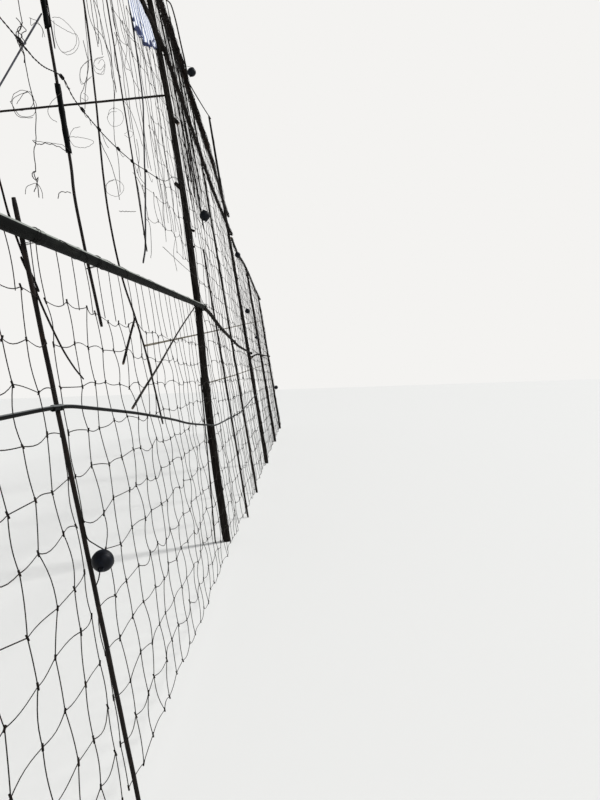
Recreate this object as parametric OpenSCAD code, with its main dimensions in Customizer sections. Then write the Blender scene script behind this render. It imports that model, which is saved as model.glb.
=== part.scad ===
// Tall makeshift fence of natural poles, iron rods, rails and wire netting, six bays long.
// The whole row stands in one plane that leans back from the path. Each piece is placed in that plane by
// u along the row, v up the slope and w across it: the fronts of all uprights touch the plane w = 0, the
// netting hangs just before them, and the rails are lashed on before the netting.

/* [Row] */
// Lean of the row away from the path, in degrees
lean = 7.7; // [5:0.1:10]
// Place of the rod post's top along the row
rod_at = 3360; // [3300:5:3420]
// Slant of the rod post along the row
rod_slant = 210; // [100:10:260]
// Place of the tall main pole
main_at = 7350; // [7340:5:7400]
// Place of the hooked pole
hook_at = 9900; // [9700:10:10050]
// Place of the tall far pole
far_at = 12850; // [12700:10:13000]
// Place of the seventh pole
seventh_at = 16800; // [16300:10:17300]
// Place of the far end pole
end_at = 20800; // [20400:10:21200]

/* [Poles] */
// Foot radius of the near end post
near_r = 36; // [30:0.5:45]
// Top radius of the near end post
near_top_r = 27; // [20:0.5:29]
// Height of the near end post
near_h = 4650; // [4550:10:5000]
// Radius of the rod post
rod_r = 8; // [6:0.5:11]
// Height of the rod post
rod_h = 2120; // [2090:10:2300]
// Foot radius of the tall main pole
main_r = 37; // [30:0.5:44]
// Top radius of the tall main pole
main_top_r = 26; // [20:0.5:30]
// Height of the tall main pole
main_h = 5850; // [5820:10:6100]
// How far the foot of the main pole is set back from the row
main_swing = 90; // [0:5:140]
// How far the main pole bows along the row above its knee
main_bow = 370; // [200:10:450]
// Foot radius of the hooked pole
hook_r = 15; // [12:0.5:20]
// Top radius of the hooked pole
hook_top_r = 8; // [6:0.5:11]
// Height at which the hooked pole bends over
hook_h = 6050; // [5950:10:6200]
// Reach of the bent-over tip
hook_reach = 650; // [400:10:900]
// Foot radius of the tall far pole
far_r = 32; // [26:0.5:40]
// Top radius of the tall far pole
far_top_r = 17; // [12:0.5:22]
// Height of the tall far pole
far_h = 6280; // [6260:10:6500]
// Foot radius of the seventh pole
seventh_r = 30; // [25:0.5:38]
// Top radius of the seventh pole
seventh_top_r = 22; // [18:0.5:26]
// Height of the seventh pole
seventh_h = 4230; // [4150:10:4500]
// Foot radius of the far end pole
end_r = 29; // [24:0.5:36]
// Top radius of the far end pole
end_top_r = 20; // [16:0.5:24]
// Height of the far end pole
end_h = 4080; // [4050:10:4300]

/* [Uprights of the near bays] */
// Place of the spliced upright
spliced_at = 4030; // [3950:5:4100]
// Radius of the spliced upright
spliced_r = 6.5; // [5:0.5:9]
// Height of its free lower end
spliced_low = 1760; // [1700:10:1900]
// Radius of its splice sleeves
sleeve_r = 12; // [11:0.5:15]
// Place of the second upright
second_at = 4650; // [4550:5:4750]
// Radius of the second upright
second_r = 5; // [4:0.5:8]
// Place of the third upright
third_at = 5300; // [5200:5:5400]
// Radius of the third upright
third_r = 4.5; // [3.5:0.5:7]
// Place of the grey rod's top
grey_at = 6190; // [6120:5:6250]
// Radius of the grey rod
grey_r = 5.5; // [4:0.5:8]

/* [Rails] */
// Radius of the near rail at its thick near end
rail_r = 24; // [18:0.5:27]
// Radius of the near rail at the main pole
rail_end_r = 21; // [16:0.5:24]
// Height of the near rail at the near end post
rail_low = 1820; // [1790:5:1860]
// Height of the near rail at the main pole
rail_high = 2206; // [2190:2:2240]
// Radius of the second rail
second_rail_r = 18; // [14:0.5:21]
// Radius of the top rails
top_rail_r = 20; // [15:0.5:23]
// Height of the near top rail at the near end post
near_top_low = 4300; // [4250:5:4350]
// Height of the near top rail at the main pole
near_top_high = 4775; // [4730:5:4820]
// Radius of the upper top rail
upper_rail_r = 19; // [15:0.5:22]
// Radius of the back rails at their thick ends
back_rail_r = 8; // [6:0.5:10]

/* [Netting] */
// Thickness of the netting wire
net_t = 3; // [2:0.5:5]
// Width of a netting wire
wire_w = 4; // [3:0.5:6]
// Mesh width of the netting
mesh_u = 190; // [180:1:220]
// Mesh height of the netting
mesh_v = 190; // [185:1:220]
// Mesh width of the near bays
near_mesh_u = 160; // [150:1:190]
// Mesh height of the near bays
near_mesh_v = 150; // [140:1:165]
// Height of the netting's foot above the ground
net_foot = 150; // [60:5:200]
// Space between a panel's edge and the middle of its post
net_edge = 72; // [66:1:85]

/* [Pipe and wires] */
// Radius of the sagging pipe
pipe_r = 7; // [5:0.5:9]
// Radius of the tension wire
tension_r = 2.5; // [2:0.5:4]
// Radius of the top rope
rope_r = 5; // [3:0.5:7]
// Radius of the tie bar
tie_bar_r = 11; // [9:0.5:14]
// Length of the tie bar
tie_bar_l = 1950; // [1700:10:2300]
// Radius of the raking stay
stay_r = 4; // [3:0.5:6]
// Radius of a big float
float_r = 62; // [50:1:70]

/* [Hidden] */

bark = [0.29, 0.25, 0.22];
bark_grey = [0.36, 0.34, 0.31];
rust = [0.32, 0.21, 0.16];
zinc = [0.42, 0.43, 0.44];
black = [0.08, 0.08, 0.09];

clear = 0.3;
front = net_t + 2 * clear;
band_w = 12;
band_t = 3;
sides = 12;
thin_sides = 8;

// A value between a and b
function between(a, b, t) = a + (b - a) * t;

// One pass of a smooth curve through points a, b, c and d, from b to c
function pass(a, b, c, d, t) =
    0.5 * (2 * b + (c - a) * t + (2 * a - 5 * b + 4 * c - d) * t * t + (3 * b - a - 3 * c + d) * t * t * t);

// A smooth curve through all points, with steps points from one to the next
function smooth(points, steps) = let (last = len(points) - 1) concat(
    [for (i = [0 : last - 1], k = [0 : steps - 1])
        pass(points[max(i - 1, 0)], points[i], points[i + 1], points[min(i + 2, last)], k / steps)],
    [points[last]]);

// Height in the row's plane at which a point set back by w lies on the ground
function ground(w) = (w - near_r) * tan(lean);

// Direction of a path in the row's plane at point i
function heading(path, i) = let (a = path[max(i - 1, 0)], b = path[min(i + 1, len(path) - 1)])
    atan2(b[1] - a[1], b[0] - a[0]);

// A ring of n points of radius r round the place [u, v, w], square to the direction a
function ring(u, v, w, a, r, n) = [for (j = [0 : n - 1]) let (f = 360 * j / n)
    [u + r * cos(f) * sin(a), w + r * sin(f), v - r * cos(f) * cos(a)]];

// The same points set down on the ground
function grounded(points) = [for (p = points) [p.x, p.y, ground(p.y)]];

// Skins rings of n points each as one closed solid
module loft(rings) {
    n = len(rings[0]);
    m = len(rings);
    polyhedron(
        points = [for (r = rings, p = r) p],
        faces = concat(
            [[for (j = [0 : n - 1]) j]],
            [[for (j = [n - 1 : -1 : 0]) (m - 1) * n + j]],
            [for (i = [0 : m - 2], j = [0 : n - 1]) let (k = (j + 1) % n)
                [i * n + j, (i + 1) * n + j, (i + 1) * n + k, i * n + k]]),
        convexity = 6);
}

// A round member along a path of [u, v, set-back] with its skin at w = 0, behind the row's plane,
// or on the path's side of the netting or wires that lie before it
module member(path, r0, r1, before = -1, stands = false, n = sides) {
    last = len(path) - 1;
    loft([for (i = [0 : last]) let (
            r = between(r0, r1, i / last),
            set_back = len(path[i]) > 2 ? path[i][2] : 0,
            w = before < 0 ? r + set_back : -(before + r) + set_back,
            points = ring(path[i][0], path[i][1], w, heading(path, i), r, n))
        i == 0 && stands ? grounded(points) : points]);
}

// Puts pieces of the row's plane where they stand in the world
module leaning() {
    rotate([-lean, 0, 0]) translate([0, -near_r, 0]) children();
}

// Cuts off what lies below the ground
module above_ground(size) {
    difference() {
        children();
        translate([-size / 2, -size / 2, -size]) cube(size);
    }
}

// A netting panel is [u0, u1, top, mesh width, mesh height], with as many whole meshes as fit
function columns(bay) = floor((bay[1] - bay[0]) / bay[3]);
function rows(bay) = floor((bay[2] - net_foot) / bay[4]);
function column_u(bay, i) = bay[0] + i * (bay[1] - bay[0] - wire_w) / columns(bay);
function row_v(bay, j) = net_foot + j * (bay[2] - net_foot - wire_w) / rows(bay);
module crossed_wires(bay) {
    for (i = [0 : columns(bay)]) translate([column_u(bay, i), net_foot]) square([wire_w, bay[2] - net_foot]);
    for (j = [0 : rows(bay)]) translate([bay[0], row_v(bay, j)]) square([bay[1] - bay[0], wire_w]);
}

// Carries each upright wire of a near panel on to the near rail, but for those beside a lashing
module carried_up(bay) {
    for (i = [0 : columns(bay)]) let (u = column_u(bay, i))
        if (min([for (p = [rod_at, spliced_at, main_at]) abs(u - p)]) > 60)
            translate([u, bay[2] - wire_w]) square([wire_w, near_rail_v(u) - bay[2] + wire_w]);
}

// Turns a flat pattern of wires into the netting before the uprights
module netting() {
    translate([0, -clear, 0]) rotate([90, 0, 0]) linear_extrude(net_t) children();
}

// A flat wire along points [u, v], and the strip that a wire of radius r at the netting's place takes up
module flat_wire(points, across) {
    polygon(concat(points, [for (i = [len(points) - 1 : -1 : 0]) points[i] + across]));
}
module wire_strip(points, r) {
    flat_wire([for (p = points) [p[0], p[1] - 1.1 * (r + clear)]], [0, 2.2 * (r + clear)]);
}

// Heights of the near rail and the near top rail along the row
function near_rail_v(u) = between(rail_low, rail_high, u / main_at);
function near_top_v(u) = between(near_top_low, near_top_high, u / main_at);
overhang = 60;
rail_butt = 22;

// Where each pole stands at height v, as [u, w of its middle, radius]
function near_end_place(v) = [0, near_r, between(near_r, near_top_r, (v + near_r) / (near_h + near_r))];
function rod_place(v) = [rod_at + rod_slant * (1 - v / rod_h), rod_r, rod_r];
knee = 2140;
function main_back(v) = v < knee ? main_swing * (1 - v / knee * v / knee) : 0;
function main_bowed(v) = v < knee ? 0 : main_bow * sin(180 * (v - knee) / (main_h + 100 - knee));
function main_place(v) = let (r = between(main_r, main_top_r, v / main_h))
    [main_at + 8 * sin(540 * v / main_h) + main_bowed(v), r + main_back(v), r];
main_edge_heights = [for (i = [0 : 24]) net_foot + i * (main_h - net_foot) / 24];

// Ends of the near rail and the near top rail past the bowed main pole
rail_end = main_place(rail_high)[0] + rail_butt;
near_top_end = main_place(near_top_high)[0] + rail_butt;
hook_straight = hook_h - 250;
function hook_place(v) = let (r = between(hook_r, hook_top_r, 0.7 * v / hook_straight))
    [hook_at - 10 + 35 * sin(200 * v / hook_straight), r, r];
function far_place(v) = let (r = between(far_r, far_top_r, v / far_h)) [far_at + 8 * sin(500 * v / far_h), r, r];
function seventh_place(v) = let (r = between(seventh_r, seventh_top_r, v / seventh_h))
    [seventh_at + 10 * sin(360 * v / seventh_h), r, r];
function end_place(v) = let (r = between(end_r, end_top_r, v / end_h)) [end_at, r, r];

// A standing pole whose rings follow a list of places [u, w, radius] at heights v
module pole(places, heights) {
    last = len(places) - 1;
    path = [for (i = [0 : last]) [places[i][0], heights[i]]];
    loft([for (i = [0 : last]) let (p = places[i], points = ring(p[0], heights[i], p[1], heading(path, i), p[2], sides))
        i == 0 ? grounded(points) : points]);
}
function steps(top, n) = [for (i = [0 : n]) top * i / n];

module near_end_post() {
    color(bark) above_ground(400) leaning()
        translate([0, near_r, -near_r]) cylinder(h = near_h + near_r, r1 = near_r, r2 = near_top_r, $fn = 48);
}

module rod_post() {
    heights = steps(rod_h, 3);
    color(rust) leaning() pole([for (v = heights) rod_place(v)], heights);
}

// Bent below its splice, and straight from there up
spliced_top = near_top_v(spliced_at) + overhang;
module spliced_upright() {
    bent = smooth([[spliced_at + 50, spliced_low], [spliced_at + 5, 2020], [spliced_at - 25, 2300],
        [spliced_at, 2470]], 3);
    color(rust) leaning() member(concat(bent, [[spliced_at, spliced_top]]), spliced_r, spliced_r, n = 16);
}

sleeve_places = [[2500, 297], [3035, 400]];
module splice_sleeves() {
    color(black) leaning() for (s = sleeve_places) translate([spliced_at, spliced_r, s[0]])
        difference() {
            cylinder(h = s[1], r = sleeve_r, $fn = 32);
            translate([0, 0, -1]) cylinder(h = s[1] + 2, r = spliced_r + clear, $fn = 32);
        }
}

splint_r = 3;
splint_h = 250;
module splice_splint() {
    color(zinc) leaning() translate([spliced_at, spliced_r - sleeve_r - clear - splint_r, 2945])
        cylinder(h = splint_h, r = splint_r, $fn = 16);
}

second_lean = 140;
module second_upright() {
    color(rust) leaning()
        member(smooth([[second_at + 285, 1275], [second_at + 170, 1660], [second_at + 50, 1870],
            [second_at - 90, 2080], [second_at - 130, 2450], [second_at + 10, 3050], [second_at + 100, 3560],
            [second_at + second_lean, near_top_v(second_at) + overhang]], 3), second_r, second_r, n = thin_sides);
}

third_lean = 72;
module third_upright() {
    color(rust) leaning()
        member(smooth([[third_at, 2330], [third_at + 35, 2850], [third_at + 55, 3450],
            [third_at + 66, 3950], [third_at + third_lean, near_top_v(third_at) + overhang]], 2),
            third_r, third_r, n = thin_sides);
}

module grey_rod() {
    color(zinc) leaning()
        member(smooth([[grey_at - 1004, 2240, 10], [grey_at - 856, 2375, 10], [grey_at - 706, 2618, 5],
            [grey_at - 540, 2887, 0], [grey_at - 466, 3023, 0], [grey_at - 261, 3356, 0], [grey_at - 104, 3622, 0],
            [grey_at - 33, 3930, 0], [grey_at + 5, 4250, 0], [grey_at, near_top_v(grey_at) + overhang, 0]], 2),
            grey_r, grey_r, n = thin_sides);
}

// A branch stub that sticks out across the row and upwards from the main pole's middle
module main_stub(v, across, up, r) {
    place = main_place(v);
    translate([place[0], place[1], v]) rotate([atan2(-across, up), 0, 0])
        cylinder(h = norm([across, up]), r1 = r, r2 = 0.8 * r, $fn = 24);
}
module main_pole() {
    heights = steps(main_h, 60);
    color(bark) leaning() {
        pole([for (v = heights) main_place(v)], heights);
        main_stub(4170, -62, -82, 19);
        main_stub(3420, 62, 78, 19);
        main_stub(3010, -60, -34, 12);
        main_stub(2830, -42, -14, 9);
        main_stub(1500, 44, 20, 8);
    }
}

beside_top = 1560;
beside_r = 6;
beside_slope = 0.071;
module rod_beside_main_pole() {
    place = main_place(beside_top);
    color(rust) leaning()
        member([for (v = [0, 800, beside_top]) let (down = beside_top - v)
            [place[0] - 0.04 * down, v, pole_back(place) + beside_slope * down]], beside_r, beside_r,
            stands = true, n = thin_sides);
}

low_at = 8400;
module low_upright() {
    color(rust) leaning()
        member(smooth([[low_at - 40, 0], [low_at - 20, 1000], [low_at, 1800], [low_at - 20, 2400],
            [low_at, 2970]], 2), 11, 9, stands = true);
}

module short_hanging_rod() {
    color(rust) leaning()
        member(smooth([[low_at + 300, 3640, 30], [low_at + 330, 3850, 20], [low_at + 280, 4150, 10],
            [low_at + 240, 4720]], 2), 8, 8, n = thin_sides);
}

// The hooked pole bends over along the row at its top, towards the main pole
module hooked_pole() {
    turns = 6;
    straight = steps(hook_straight, 10);
    top = hook_place(hook_straight);
    bend = [for (i = [1 : turns]) let (a = i * 150 / turns)
        [top[0] - hook_reach / 2 * (1 - cos(a)), hook_straight + 250 * sin(a)]];
    path = concat([for (v = straight) [hook_place(v)[0], v]], bend);
    color(bark_grey) leaning() loft([for (i = [0 : len(path) - 1]) let (
            bent = i - len(straight) + 1,
            r = bent <= 0 ? hook_place(path[i][1])[2] : between(top[2], hook_top_r, bent / turns),
            points = ring(path[i][0], path[i][1], r, heading(path, i), r, sides))
        i == 0 ? grounded(points) : points]);
}

module far_pole() {
    heights = steps(far_h, 12);
    color(bark) leaning() pole([for (v = heights) far_place(v)], heights);
}

module seventh_pole() {
    heights = steps(seventh_h, 8);
    color(bark) leaning() pole([for (v = heights) seventh_place(v)], heights);
}

module far_end_pole() {
    heights = steps(end_h, 8);
    color(bark) leaning() pole([for (v = heights) end_place(v)], heights);
}

// The near rail is a length of bamboo, with a raised ring at each of its joints
ring_first = 220;
ring_space = 357;
module near_rail() {
    color(bark) leaning() {
        member([for (i = [0 : 8]) let (u = between(-140, rail_end, i / 8)) [u, near_rail_v(u)]],
            rail_r, rail_end_r, before = front);
        for (u = [ring_first : ring_space : main_at - 150]) let (r = between(rail_r, rail_end_r, u / main_at) + 0.2)
            translate([u, -(front + r), near_rail_v(u)]) rotate([0, 90, 0])
                cylinder(h = 8, r = r, $fn = 24, center = true);
    }
}

// The second rail butts against the end of the near rail
second_hook_v = 2020;
second_far_v = 1984;
module second_rail() {
    color(bark) leaning()
        member(smooth([[rail_end + 1, rail_high - 6], [7750, 2185], [8483, 2107], [hook_at, second_hook_v],
            [10692, 1989], [far_at + 150, second_far_v]], 2), second_rail_r, second_rail_r - 3, before = front);
}

far_low_v = 1912;
far_low_seventh_v = 2085;
far_low_end_v = 2197;
module far_low_rail() {
    color(bark) leaning()
        member(smooth([[far_at - 100, far_low_v - 7], [14550, 2021], [seventh_at, far_low_seventh_v],
            [end_at + 110, far_low_end_v + 3]], 3), second_rail_r - 2, second_rail_r - 4, before = front);
}

module near_top_rail() {
    color(bark) leaning()
        member([for (i = [0 : 8]) let (u = between(-120, near_top_end, i / 8)) [u, near_top_v(u)]],
            top_rail_r, top_rail_r, before = front);
}

// The middle top rail butts against the end of the near top rail
middle_hook_v = 4390;
middle_far_v = 4155;
module middle_top_rail() {
    color(bark) leaning()
        member(smooth([[near_top_end + 1, near_top_v(near_top_end)], [8200, 4705], [9000, 4565],
            [hook_at, middle_hook_v], [10650, 4255], [11370, 4210], [far_at + 120, middle_far_v - 5]], 2),
            top_rail_r, top_rail_r - 3, before = front);
}

upper_main_v = 5590;
upper_hook_v = 5150;
upper_far_v = 4500;
upper_top_path = [[main_place(upper_main_v)[0] - 100, upper_main_v + 10], [8300, 5500], [8700, 5430],
    [9300, 5270], [hook_at, upper_hook_v], [10700, 5060], [11500, 4900], [12250, 4620],
    [far_at + 110, upper_far_v - 20]];
module upper_top_rail() {
    color(rust) leaning() member(smooth(upper_top_path, 2), upper_rail_r, upper_rail_r - 3, before = front);
}

far_top_v = 4000;
module far_top_rail() {
    color(bark) leaning()
        member(smooth([[far_at - 110, far_top_v + 50], [13800, far_top_v - 30], [15400, far_top_v + 50],
            [seventh_at, far_top_v + 40], [18500, far_top_v - 30], [end_at + 120, far_top_v - 60]], 2),
            top_rail_r - 3, top_rail_r - 6, before = front);
}

// Two thin rails behind the poles, which touch each pole's back. The higher one also rests on the netting of
// the second bay, and the lower one on the rod beside the main pole.
function pole_back(place) = place[1] + place[2] + clear;
high_back_path = [[4830, 1716, 0], [main_at, 1960, pole_back(main_place(1960))],
    [hook_at, 2214, pole_back(hook_place(2214))], [far_at, 2508, pole_back(far_place(2508))],
    [seventh_at, 2901, pole_back(seventh_place(2901))], [end_at, 3298, pole_back(end_place(3298))],
    [end_at + 120, 3310, pole_back(end_place(3298))]];
low_back_path = [[main_at - 40, 1490, pole_back(main_place(beside_top)) + beside_slope * 70 + 2 * beside_r + clear],
    [hook_at, 1583, pole_back(hook_place(1583))], [far_at, 1690, pole_back(far_place(1690))],
    [seventh_at, 1838, pole_back(seventh_place(1838))], [end_at, 1987, pole_back(end_place(1987))],
    [end_at + 120, 1991, pole_back(end_place(1987))]];
module back_rails() {
    color(bark_grey) leaning() for (path = [high_back_path, low_back_path])
        member(path, back_rail_r - 2, back_rail_r, n = thin_sides);
}

rope_low = 5500;
module top_rope() {
    color(black) leaning()
        member([[hook_place(rope_low)[0] - 20, rope_low - 4], [far_place(far_h)[0] + 15, far_h - 40]],
            rope_r, rope_r, before = clear, n = thin_sides);
}

// Heights of the tension wire where it passes the uprights, from the near end post to the main pole
tension_main_v = 3470;
tension_path = [[0, 2700], [1800, 2740], [3480, 2764], [3800, 2771], [4080, 2847], [4245, 2806], [4726, 2819],
    [5269, 2884], [5676, 2959], [6088, 3037], [6350, 3097], [6551, 3160], [7000, 3330],
    [main_place(tension_main_v)[0], tension_main_v]];
module tension_wire() {
    color(black) leaning()
        member(tension_path, tension_r, tension_r, before = clear, n = thin_sides);
}

middle_wire_r = 2;
middle_path = [[5840, 2470], [main_at, 2490], [low_at + 10, 2500]];
module middle_wire() {
    color(black) leaning() member(middle_path, middle_wire_r, middle_wire_r, before = clear, n = thin_sides);
}

// Heights of the pipe along the row, which sags past the main pole and is straight through its coupling
coupling_at = 3376;
coupling_l = 84;
coupling_v = 1437;
pipe_path = [[-90, 1350], [1700, 1390], [2900, 1426], [coupling_at - 100, coupling_v],
    [coupling_at + 100, coupling_v], [3700, 1421], [4110, 1387], [4400, 1361], [4820, 1319], [5210, 1277],
    [5690, 1221], [6526, 1149], [6940, 1120], [7700, 1112], [8500, 1108], [9300, 1112], [10500, 1160],
    [11700, 1215], [12900, 1250]];
module black_pipe() {
    color(black) leaning() member(pipe_path, pipe_r, pipe_r, before = front);
}

// A sleeve with a hexagonal nut at each end
nut_l = 22;
module pipe_coupling() {
    color(black) leaning() translate([coupling_at - coupling_l / 2, -(front + pipe_r), coupling_v])
        rotate([0, 90, 0]) difference() {
            union() {
                cylinder(h = coupling_l, r = pipe_r + 2.5, $fn = 32);
                for (x = [0, coupling_l - nut_l]) translate([0, 0, x]) cylinder(h = nut_l, r = pipe_r + 4.5, $fn = 6);
            }
            translate([0, 0, -1]) cylinder(h = coupling_l + 2, r = pipe_r + 2 * clear, $fn = 32);
        }
}

module brace_cane() {
    color(bark_grey) leaning()
        member(smooth([[4290, 1392], [4576, 1478], [5054, 1618], [5937, 1890], [6850, 2149]], 3), 6, 5, before = front,
            n = thin_sides);
}

module short_stick() {
    color(bark) leaning()
        member([[4260, 1600], [4470, 1740], [4640, 1850]], 6, 5, before = front, n = thin_sides);
}

// The near stick is bent down along the row behind the rod post, and is in two lapped lengths
stick_r = 4;
stick_back = 2 * rod_r + band_t + 2 * clear;
module near_stick_upper() {
    color(bark) leaning()
        member(smooth([for (p = [[120, 1835], [95, 1870], [50, 1925], [-18, 2048], [-47, 2152], [-85, 2290]])
            [rod_at + p[0], p[1], stick_back]], 2), stick_r, stick_r - 1, n = thin_sides);
}

module near_stick_lower() {
    color(bark) leaning()
        member(smooth([for (p = [[40, 1940], [95, 1870], [146, 1794], [209, 1716], [281, 1641], [365, 1579],
            [444, 1537]]) [rod_at + p[0], p[1], stick_back + 2 * stick_r + clear]], 2), stick_r, stick_r - 1,
            n = thin_sides);
}

// Goes back level from the main pole
tie_bar_v = 4385;
tie_bar_turn = 8;
module tie_bar() {
    place = main_place(tie_bar_v);
    color(rust) leaning() translate([place[0], place[1] + place[2] + clear + 1, tie_bar_v])
        rotate([0, 0, -tie_bar_turn]) rotate([lean - 90, 0, 0]) cylinder(h = tie_bar_l, r = tie_bar_r, $fn = 32);
}

stay_v = 3100;
stay_slope = 58;
module raking_stay() {
    reach = 4000;
    color(zinc) above_ground(9000) leaning()
        translate([spliced_at, spliced_r + sleeve_r + clear + stay_r * sin(stay_slope - lean), stay_v])
        rotate([-90 - stay_slope + lean, 0, 0]) cylinder(h = reach, r = stay_r, $fn = 24);
}

// The panels, one a bay: the near ones are torn off above the near rail
bays = [
    [net_edge, rod_at + 40, 1730, near_mesh_u, near_mesh_v],
    [rod_at + 100, main_at - net_edge, 1820, near_mesh_u, near_mesh_v],
    [main_at + net_edge, hook_at - net_edge, 5560, mesh_u, mesh_v],
    [hook_at + net_edge, far_at - net_edge, 5060, mesh_u, mesh_v],
    [far_at + net_edge, seventh_at - net_edge, 4000, mesh_u, mesh_v],
    [seventh_at + net_edge, end_at - net_edge, 3980, mesh_u, mesh_v]];
// The pipe's coupling is thicker than the pipe, so the netting is parted behind it
module net_bay_1() {
    color(zinc) leaning() netting() difference() {
        union() {
            crossed_wires(bays[0]);
            carried_up(bays[0]);
        }
        translate([coupling_at, coupling_v]) square([coupling_l + 4, 2 * pipe_r + 12], center = true);
    }
}
module net_bay_2() {
    color(zinc) leaning() netting() {
        crossed_wires(bays[1]);
        carried_up(bays[1]);
    }
}

// Its first wire follows the bowed main pole
module net_bay_3() {
    edge = [for (v = main_edge_heights) if (v < bays[2][2]) [main_place(v)[0] + net_edge, v]];
    top = len(edge) - 1;
    color(zinc) leaning() netting() difference() {
        union() {
            intersection() {
                crossed_wires(bays[2]);
                polygon(concat(edge, [[edge[top][0], bays[2][2] + 1], [hook_at, bays[2][2] + 1], [hook_at, net_foot]]));
            }
            flat_wire(concat(edge, [[edge[top][0], bays[2][2]]]), [wire_w, 0]);
        }
        wire_strip(middle_path, middle_wire_r);
    }
}
module net_bay_4() {
    color(zinc) leaning() netting() crossed_wires(bays[3]);
}
module net_bay_5() {
    color(zinc) leaning() netting() crossed_wires(bays[4]);
}
module net_bay_6() {
    color(zinc) leaning() netting() crossed_wires(bays[5]);
}

// A scrap of cloth that hangs from the near top rail and is slit at the grey rod's lashing, and the netting
// is torn away behind it
module cloth_outline() {
    difference() {
        polygon([[5960, 4110], [6060, 4140], [6390, 4240], [6900, 4470], [7060, 4530],
            [7170, near_top_v(7170) + 8], [6000, near_top_v(6000) + 8]]);
        translate([grey_at, near_top_v(grey_at)]) square(76, center = true);
    }
}

// The torn panel above the near rail: its rows rise to the bowed main pole, and it ends in a ragged edge
torn_from = 5480;
torn_rows = [[2600, 6300], [2770, 5480], [2990, 5480], [3185, 6100], [3370, 5900], [3570, 5950], [3730, 6100],
    [3900, 6250], [4070, 5480], [4250, 5480], [4420, 5700], [4600, 6100]];
function torn_edge(v) = main_place(v)[0] - net_edge;
function torn_v(row, u) = row[0] - 0.17 * (torn_edge(row[0]) - u) * between(0.55, 1.1, (row[0] - 2600) / 2000);
function torn_foot(u) = min([for (row = torn_rows) if (row[1] <= u + 1) torn_v(row, u)]);
module torn_net() {
    edge = [for (v = main_edge_heights) [torn_edge(v), v]];
    outline = concat([[torn_from - 10, net_foot]], edge, [[torn_from - 10, main_h]]);
    color(zinc) leaning() netting() difference() {
        intersection() {
            union() {
                for (row = torn_rows) flat_wire([[row[1], torn_v(row, row[1])], [torn_edge(row[0]), row[0]]], [0, wire_w]);
                for (u = [torn_from : near_mesh_u : torn_edge(near_top_high)])
                    translate([u, torn_foot(u)]) square([wire_w, near_top_v(u) - torn_foot(u)]);
                flat_wire([for (v = main_edge_heights) if (v > 2600 && v < near_top_high) [torn_edge(v) - wire_w, v]],
                    [wire_w, 0]);
            }
            polygon(outline);
        }
        offset(delta = clear) cloth_outline();
        wire_strip(tension_path, tension_r);
        wire_strip(middle_path, middle_wire_r);
    }
}

// Roll of rusty netting that lies on the upper top rail
roll_lift = 34;
module rolled_net() {
    path = smooth([for (i = [1 : 6]) upper_top_path[i] + [0, roll_lift]], 4);
    last = len(path) - 1;
    color(rust) leaning() loft([for (i = [0 : last]) let (r = (30 + 6 * sin(140 * i)) * (i % last == 0 ? 0.6 : 1))
        ring(path[i][0], path[i][1] + r, -(front + r), heading(path, i), r, sides)]);
}

// A float on an upright wire of its bay's netting
module net_float(bay, column, row, share) {
    r = float_r * share;
    translate([column_u(bay, column) + wire_w / 2, -(front + r), row_v(bay, row) + wire_w / 2])
        sphere(r = r, $fn = 48);
}
module hook_float() {
    color(black) leaning() translate([hook_place(5640)[0], -(clear + float_r), 5640])
        sphere(r = float_r, $fn = 48);
}
module net_floats() {
    color(black) leaning() {
        net_float(bays[1], 0, 5, 0.65);
        net_float(bays[2], 5, 16.5, 1);
        net_float(bays[4], 1, 19, 0.9);
        net_float(bays[4], 2, 13.7, 0.8);
        net_float(bays[4], 11, 11.7, 0.6);
        net_float(bays[5], 19, 5.7, 1);
    }
}

module cloth_scrap() {
    color([0.75, 0.77, 0.8]) leaning() netting() cloth_outline();
}

// A square turn of wire round an upright and a rail, at 45 degrees to both
module lashing(place, v, held_r, turn = -45) {
    half = max(place[2], held_r) * sqrt(2) + band_w / 2 + 1;
    low = -(front + 2 * held_r + clear);
    high = place[1] + place[2] + clear;
    translate([place[0], 0, v]) rotate([0, turn, 0]) linear_extrude(band_w, center = true) difference() {
        translate([-half - band_t, low - band_t]) square([2 * (half + band_t), high - low + 2 * band_t]);
        translate([-half, low]) square([2 * half, high - low]);
    }
}
module near_lashings() {
    color(black) leaning() {
        lashing(near_end_place(rail_low), rail_low, rail_r);
        lashing(near_end_place(near_top_low), near_top_low, top_rail_r);
        lashing(rod_place(near_rail_v(rod_at)), near_rail_v(rod_at), rail_r - 1);
        lashing([spliced_at, spliced_r, spliced_r], near_rail_v(spliced_at), rail_r - 1.5);
        for (u = [[spliced_at, spliced_r], [second_at + second_lean, second_r], [third_at + third_lean, third_r],
            [grey_at, grey_r]])
            lashing([u[0], u[1], u[1]], near_top_v(u[0]), top_rail_r);
    }
}
module main_lashings() {
    color(black) leaning() {
        lashing(main_place(rail_high), rail_high, rail_end_r, 45);
        for (s = [[near_top_v(near_top_end), top_rail_r], [upper_main_v, upper_rail_r]])
            lashing(main_place(s[0]), s[0], s[1]);
        for (s = [[second_hook_v, second_rail_r - 1], [middle_hook_v, top_rail_r - 1], [upper_hook_v, upper_rail_r - 1]])
            lashing(hook_place(s[0]), s[0], s[1]);
    }
}
module far_lashings() {
    color(black) leaning() {
        for (s = [[far_low_v, second_rail_r - 2], [second_far_v, second_rail_r - 2.5],
            [far_top_v + 46, top_rail_r - 3], [middle_far_v, top_rail_r - 2.5], [upper_far_v, upper_rail_r - 2.5]])
            lashing(far_place(s[0]), s[0], s[1]);
        for (s = [[far_low_seventh_v, second_rail_r - 3], [far_top_v + 40, top_rail_r - 4]])
            lashing(seventh_place(s[0]), s[0], s[1]);
        for (s = [[far_low_end_v, second_rail_r - 4], [far_top_v - 52, top_rail_r - 5.5]])
            lashing(end_place(s[0]), s[0], s[1]);
    }
}

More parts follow.
